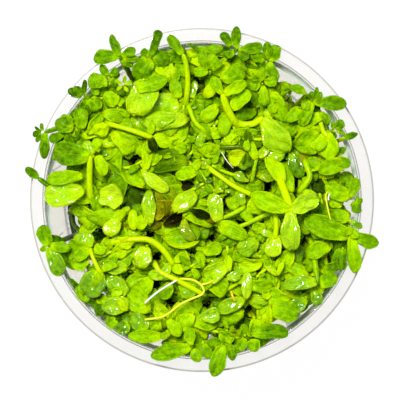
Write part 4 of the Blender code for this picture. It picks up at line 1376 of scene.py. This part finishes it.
# %% The aerial roots: colours, then points and radius
ROOTS = {
    "root_white": ("#FFFFF4", "#F4F8E0", [
        ([(-15.6, -28.2, 61.6), (-14.6, -27.2, 62.2), (-11.6, -24.8, 62.6), (-7, -22, 62.2)], 0.3),
        ([(35.2, 2.2, 60.4), (34.7, 1, 62), (34.6, 0, 62.2)], 0.25),
        ([(5.4, 13.2, 58.2), (6.4, 11.4, 60), (7.6, 9.8, 60), (8.6, 8.8, 58.8)], 0.15)]),
    "root_yellow": ("#E6EE00", "#F0F430", [
        ([(-15.6, -32.8, 61), (-10.4, -31.8, 61.8), (-6, -28.6, 62), (-3.2, -27.2, 62.2),
          (0, -25.8, 62.4), (0.5, -24.6, 62.4), (-0.6, -23, 62.2), (-2.8, -21.8, 61.8),
          (-6, -21.6, 61.2)], 0.34),
        ([(-0.4, -23.2, 62.2), (1.6, -22.8, 62.2), (3.2, -22, 61.6)], 0.3),
        ([(34.8, 2.6, 60.6), (33.9, 1.2, 61.9), (34.3, -1.6, 62.2), (35.3, -6, 61.8)], 0.26)]),
    "root_orange": ("#F0C400", "#F4D020", [([(8, -25.1, 61.2), (8.4, -26.4, 61.8), (9, -27.6, 61.6)], 0.36)]),
}

for name, (hex_code, pale_code, lines) in ROOTS.items():
    growth = Growth()
    for points, radius in lines:
        path = smooth_path(points, 6)
        add_tube(growth, path, stem_radii(path, radius), [0.8] * len(path))
    finish = root_material(name + "_tissue", hex_code, pale_code)
    root = growth.make(name, [finish, finish])
    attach(root, "root")
print("aerial roots:", sum(len(lines) for hex_code, pale_code, lines in ROOTS.values()))

# %% The roots in the gel
ROOTS_PER_STEM = 5
ROOT_RADIUS = 0.22
ROOT_ROOM = 36.5
ROOT_TONE = 0.8

gel_roots = Growth()
for name, points in STEMS.items():
    if name.endswith("fork"):
        continue
    foot_x, foot_y = points[0][:2]
    start = (foot_x, foot_y, GEL_TOP - 3)
    for i in range(ROOTS_PER_STEM):
        turn = 2 * math.pi * i / ROOTS_PER_STEM + chance.uniform(-0.5, 0.5)
        reach = min(chance.uniform(3, 5.5), ROOT_ROOM - math.hypot(foot_x, foot_y))
        end = step_from((foot_x, foot_y, 0.0), turn, reach, chance.uniform(2.2, 5))
        middle = (0.5 * (foot_x + end[0]), 0.5 * (foot_y + end[1]), 0.35 * start[2] + 0.65 * end[2])
        path = smooth_path([start, middle, end], 5)
        add_tube(gel_roots, path, stem_radii(path, ROOT_RADIUS), [ROOT_TONE] * len(path), sides=5)
fine_root = root_material("fine_root_tissue", "#E8EED0", "#F4F6E4")
gel_root_piece = gel_roots.make("gel_roots", [fine_root, fine_root])
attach(gel_root_piece, "root")
print("fine roots:", len(gel_roots.faces), "faces")

# %% [markdown]
# ## The white table, the light and the camera
#
# The cup stands on a white table in a bright tent, so the table is as light as the paper it is
# printed on and casts no edge. One soft light beside the camera shines down on the clump and
# puts the highlights on the wax, and the tent's even white fills the shade. The table could be
# lit up to white, but the light for that would bleach the leaves, so it shines white by itself.
# Places and sizes here are in metres.

# %% The table
TABLE_REACH = 3.0
TABLE_DROP = 0.2 * MM
corners = [(x * TABLE_REACH, y * TABLE_REACH, 0) for x, y in ((-1, -1), (1, -1), (1, 1), (-1, 1))]
table_mesh = bpy.data.meshes.new("white_table")
table_mesh.from_pydata(corners, [], [(0, 1, 2, 3)])
table_mesh.materials.append(start_material("white_table_laminate", {
    "Base Color": linear("#454545"), "Roughness": 0.8, "Specular IOR Level": 0.1,
    "Emission Color": linear("#FFFFFF"), "Emission Strength": 0.98}))
table = bpy.data.objects.new("white_table", table_mesh)
table.location.z = -TABLE_DROP
bpy.context.scene.collection.objects.link(table)

# %% The light and the sky
LIGHT_PLACE = (-0.16, 0.26, 0.98)
LIGHT_SIZE = 0.27
LIGHT_POWER = 11.6
SKY_STRENGTH = 0.25

light_data = bpy.data.lights.new("key_light", "AREA")
light_data.shape = "SQUARE"
light_data.size = LIGHT_SIZE
light_data.energy = LIGHT_POWER
light = bpy.data.objects.new("key_light", light_data)
light.location = LIGHT_PLACE
aim = -light.location
aim.z += CUP_HEIGHT * MM
light.rotation_euler = aim.to_track_quat("-Z", "Y").to_euler()
bpy.context.scene.collection.objects.link(light)

world = bpy.data.worlds.new("white_tent")
world.use_nodes = True
set_values(world.node_tree.nodes["Background"], {"Color": linear("#FFFFFF"), "Strength": SKY_STRENGTH})
bpy.context.scene.world = world

# %% The camera
RIM_DISTANCE = 0.900
VIEW_WIDTH = 0.1104
VIEW_SHIFT = -0.00055
SENSOR = 36.0
camera_data = bpy.data.cameras.new("camera")
camera_data.sensor_width = SENSOR
camera_data.lens = SENSOR * RIM_DISTANCE / VIEW_WIDTH
camera = bpy.data.objects.new("camera", camera_data)
camera.location = (VIEW_SHIFT, 0.0, CUP_HEIGHT * MM + RIM_DISTANCE)
bpy.context.scene.collection.objects.link(camera)
bpy.context.scene.camera = camera
bpy.context.scene.view_settings.view_transform = "Standard"
print("lens:", round(camera_data.lens, 1), "mm")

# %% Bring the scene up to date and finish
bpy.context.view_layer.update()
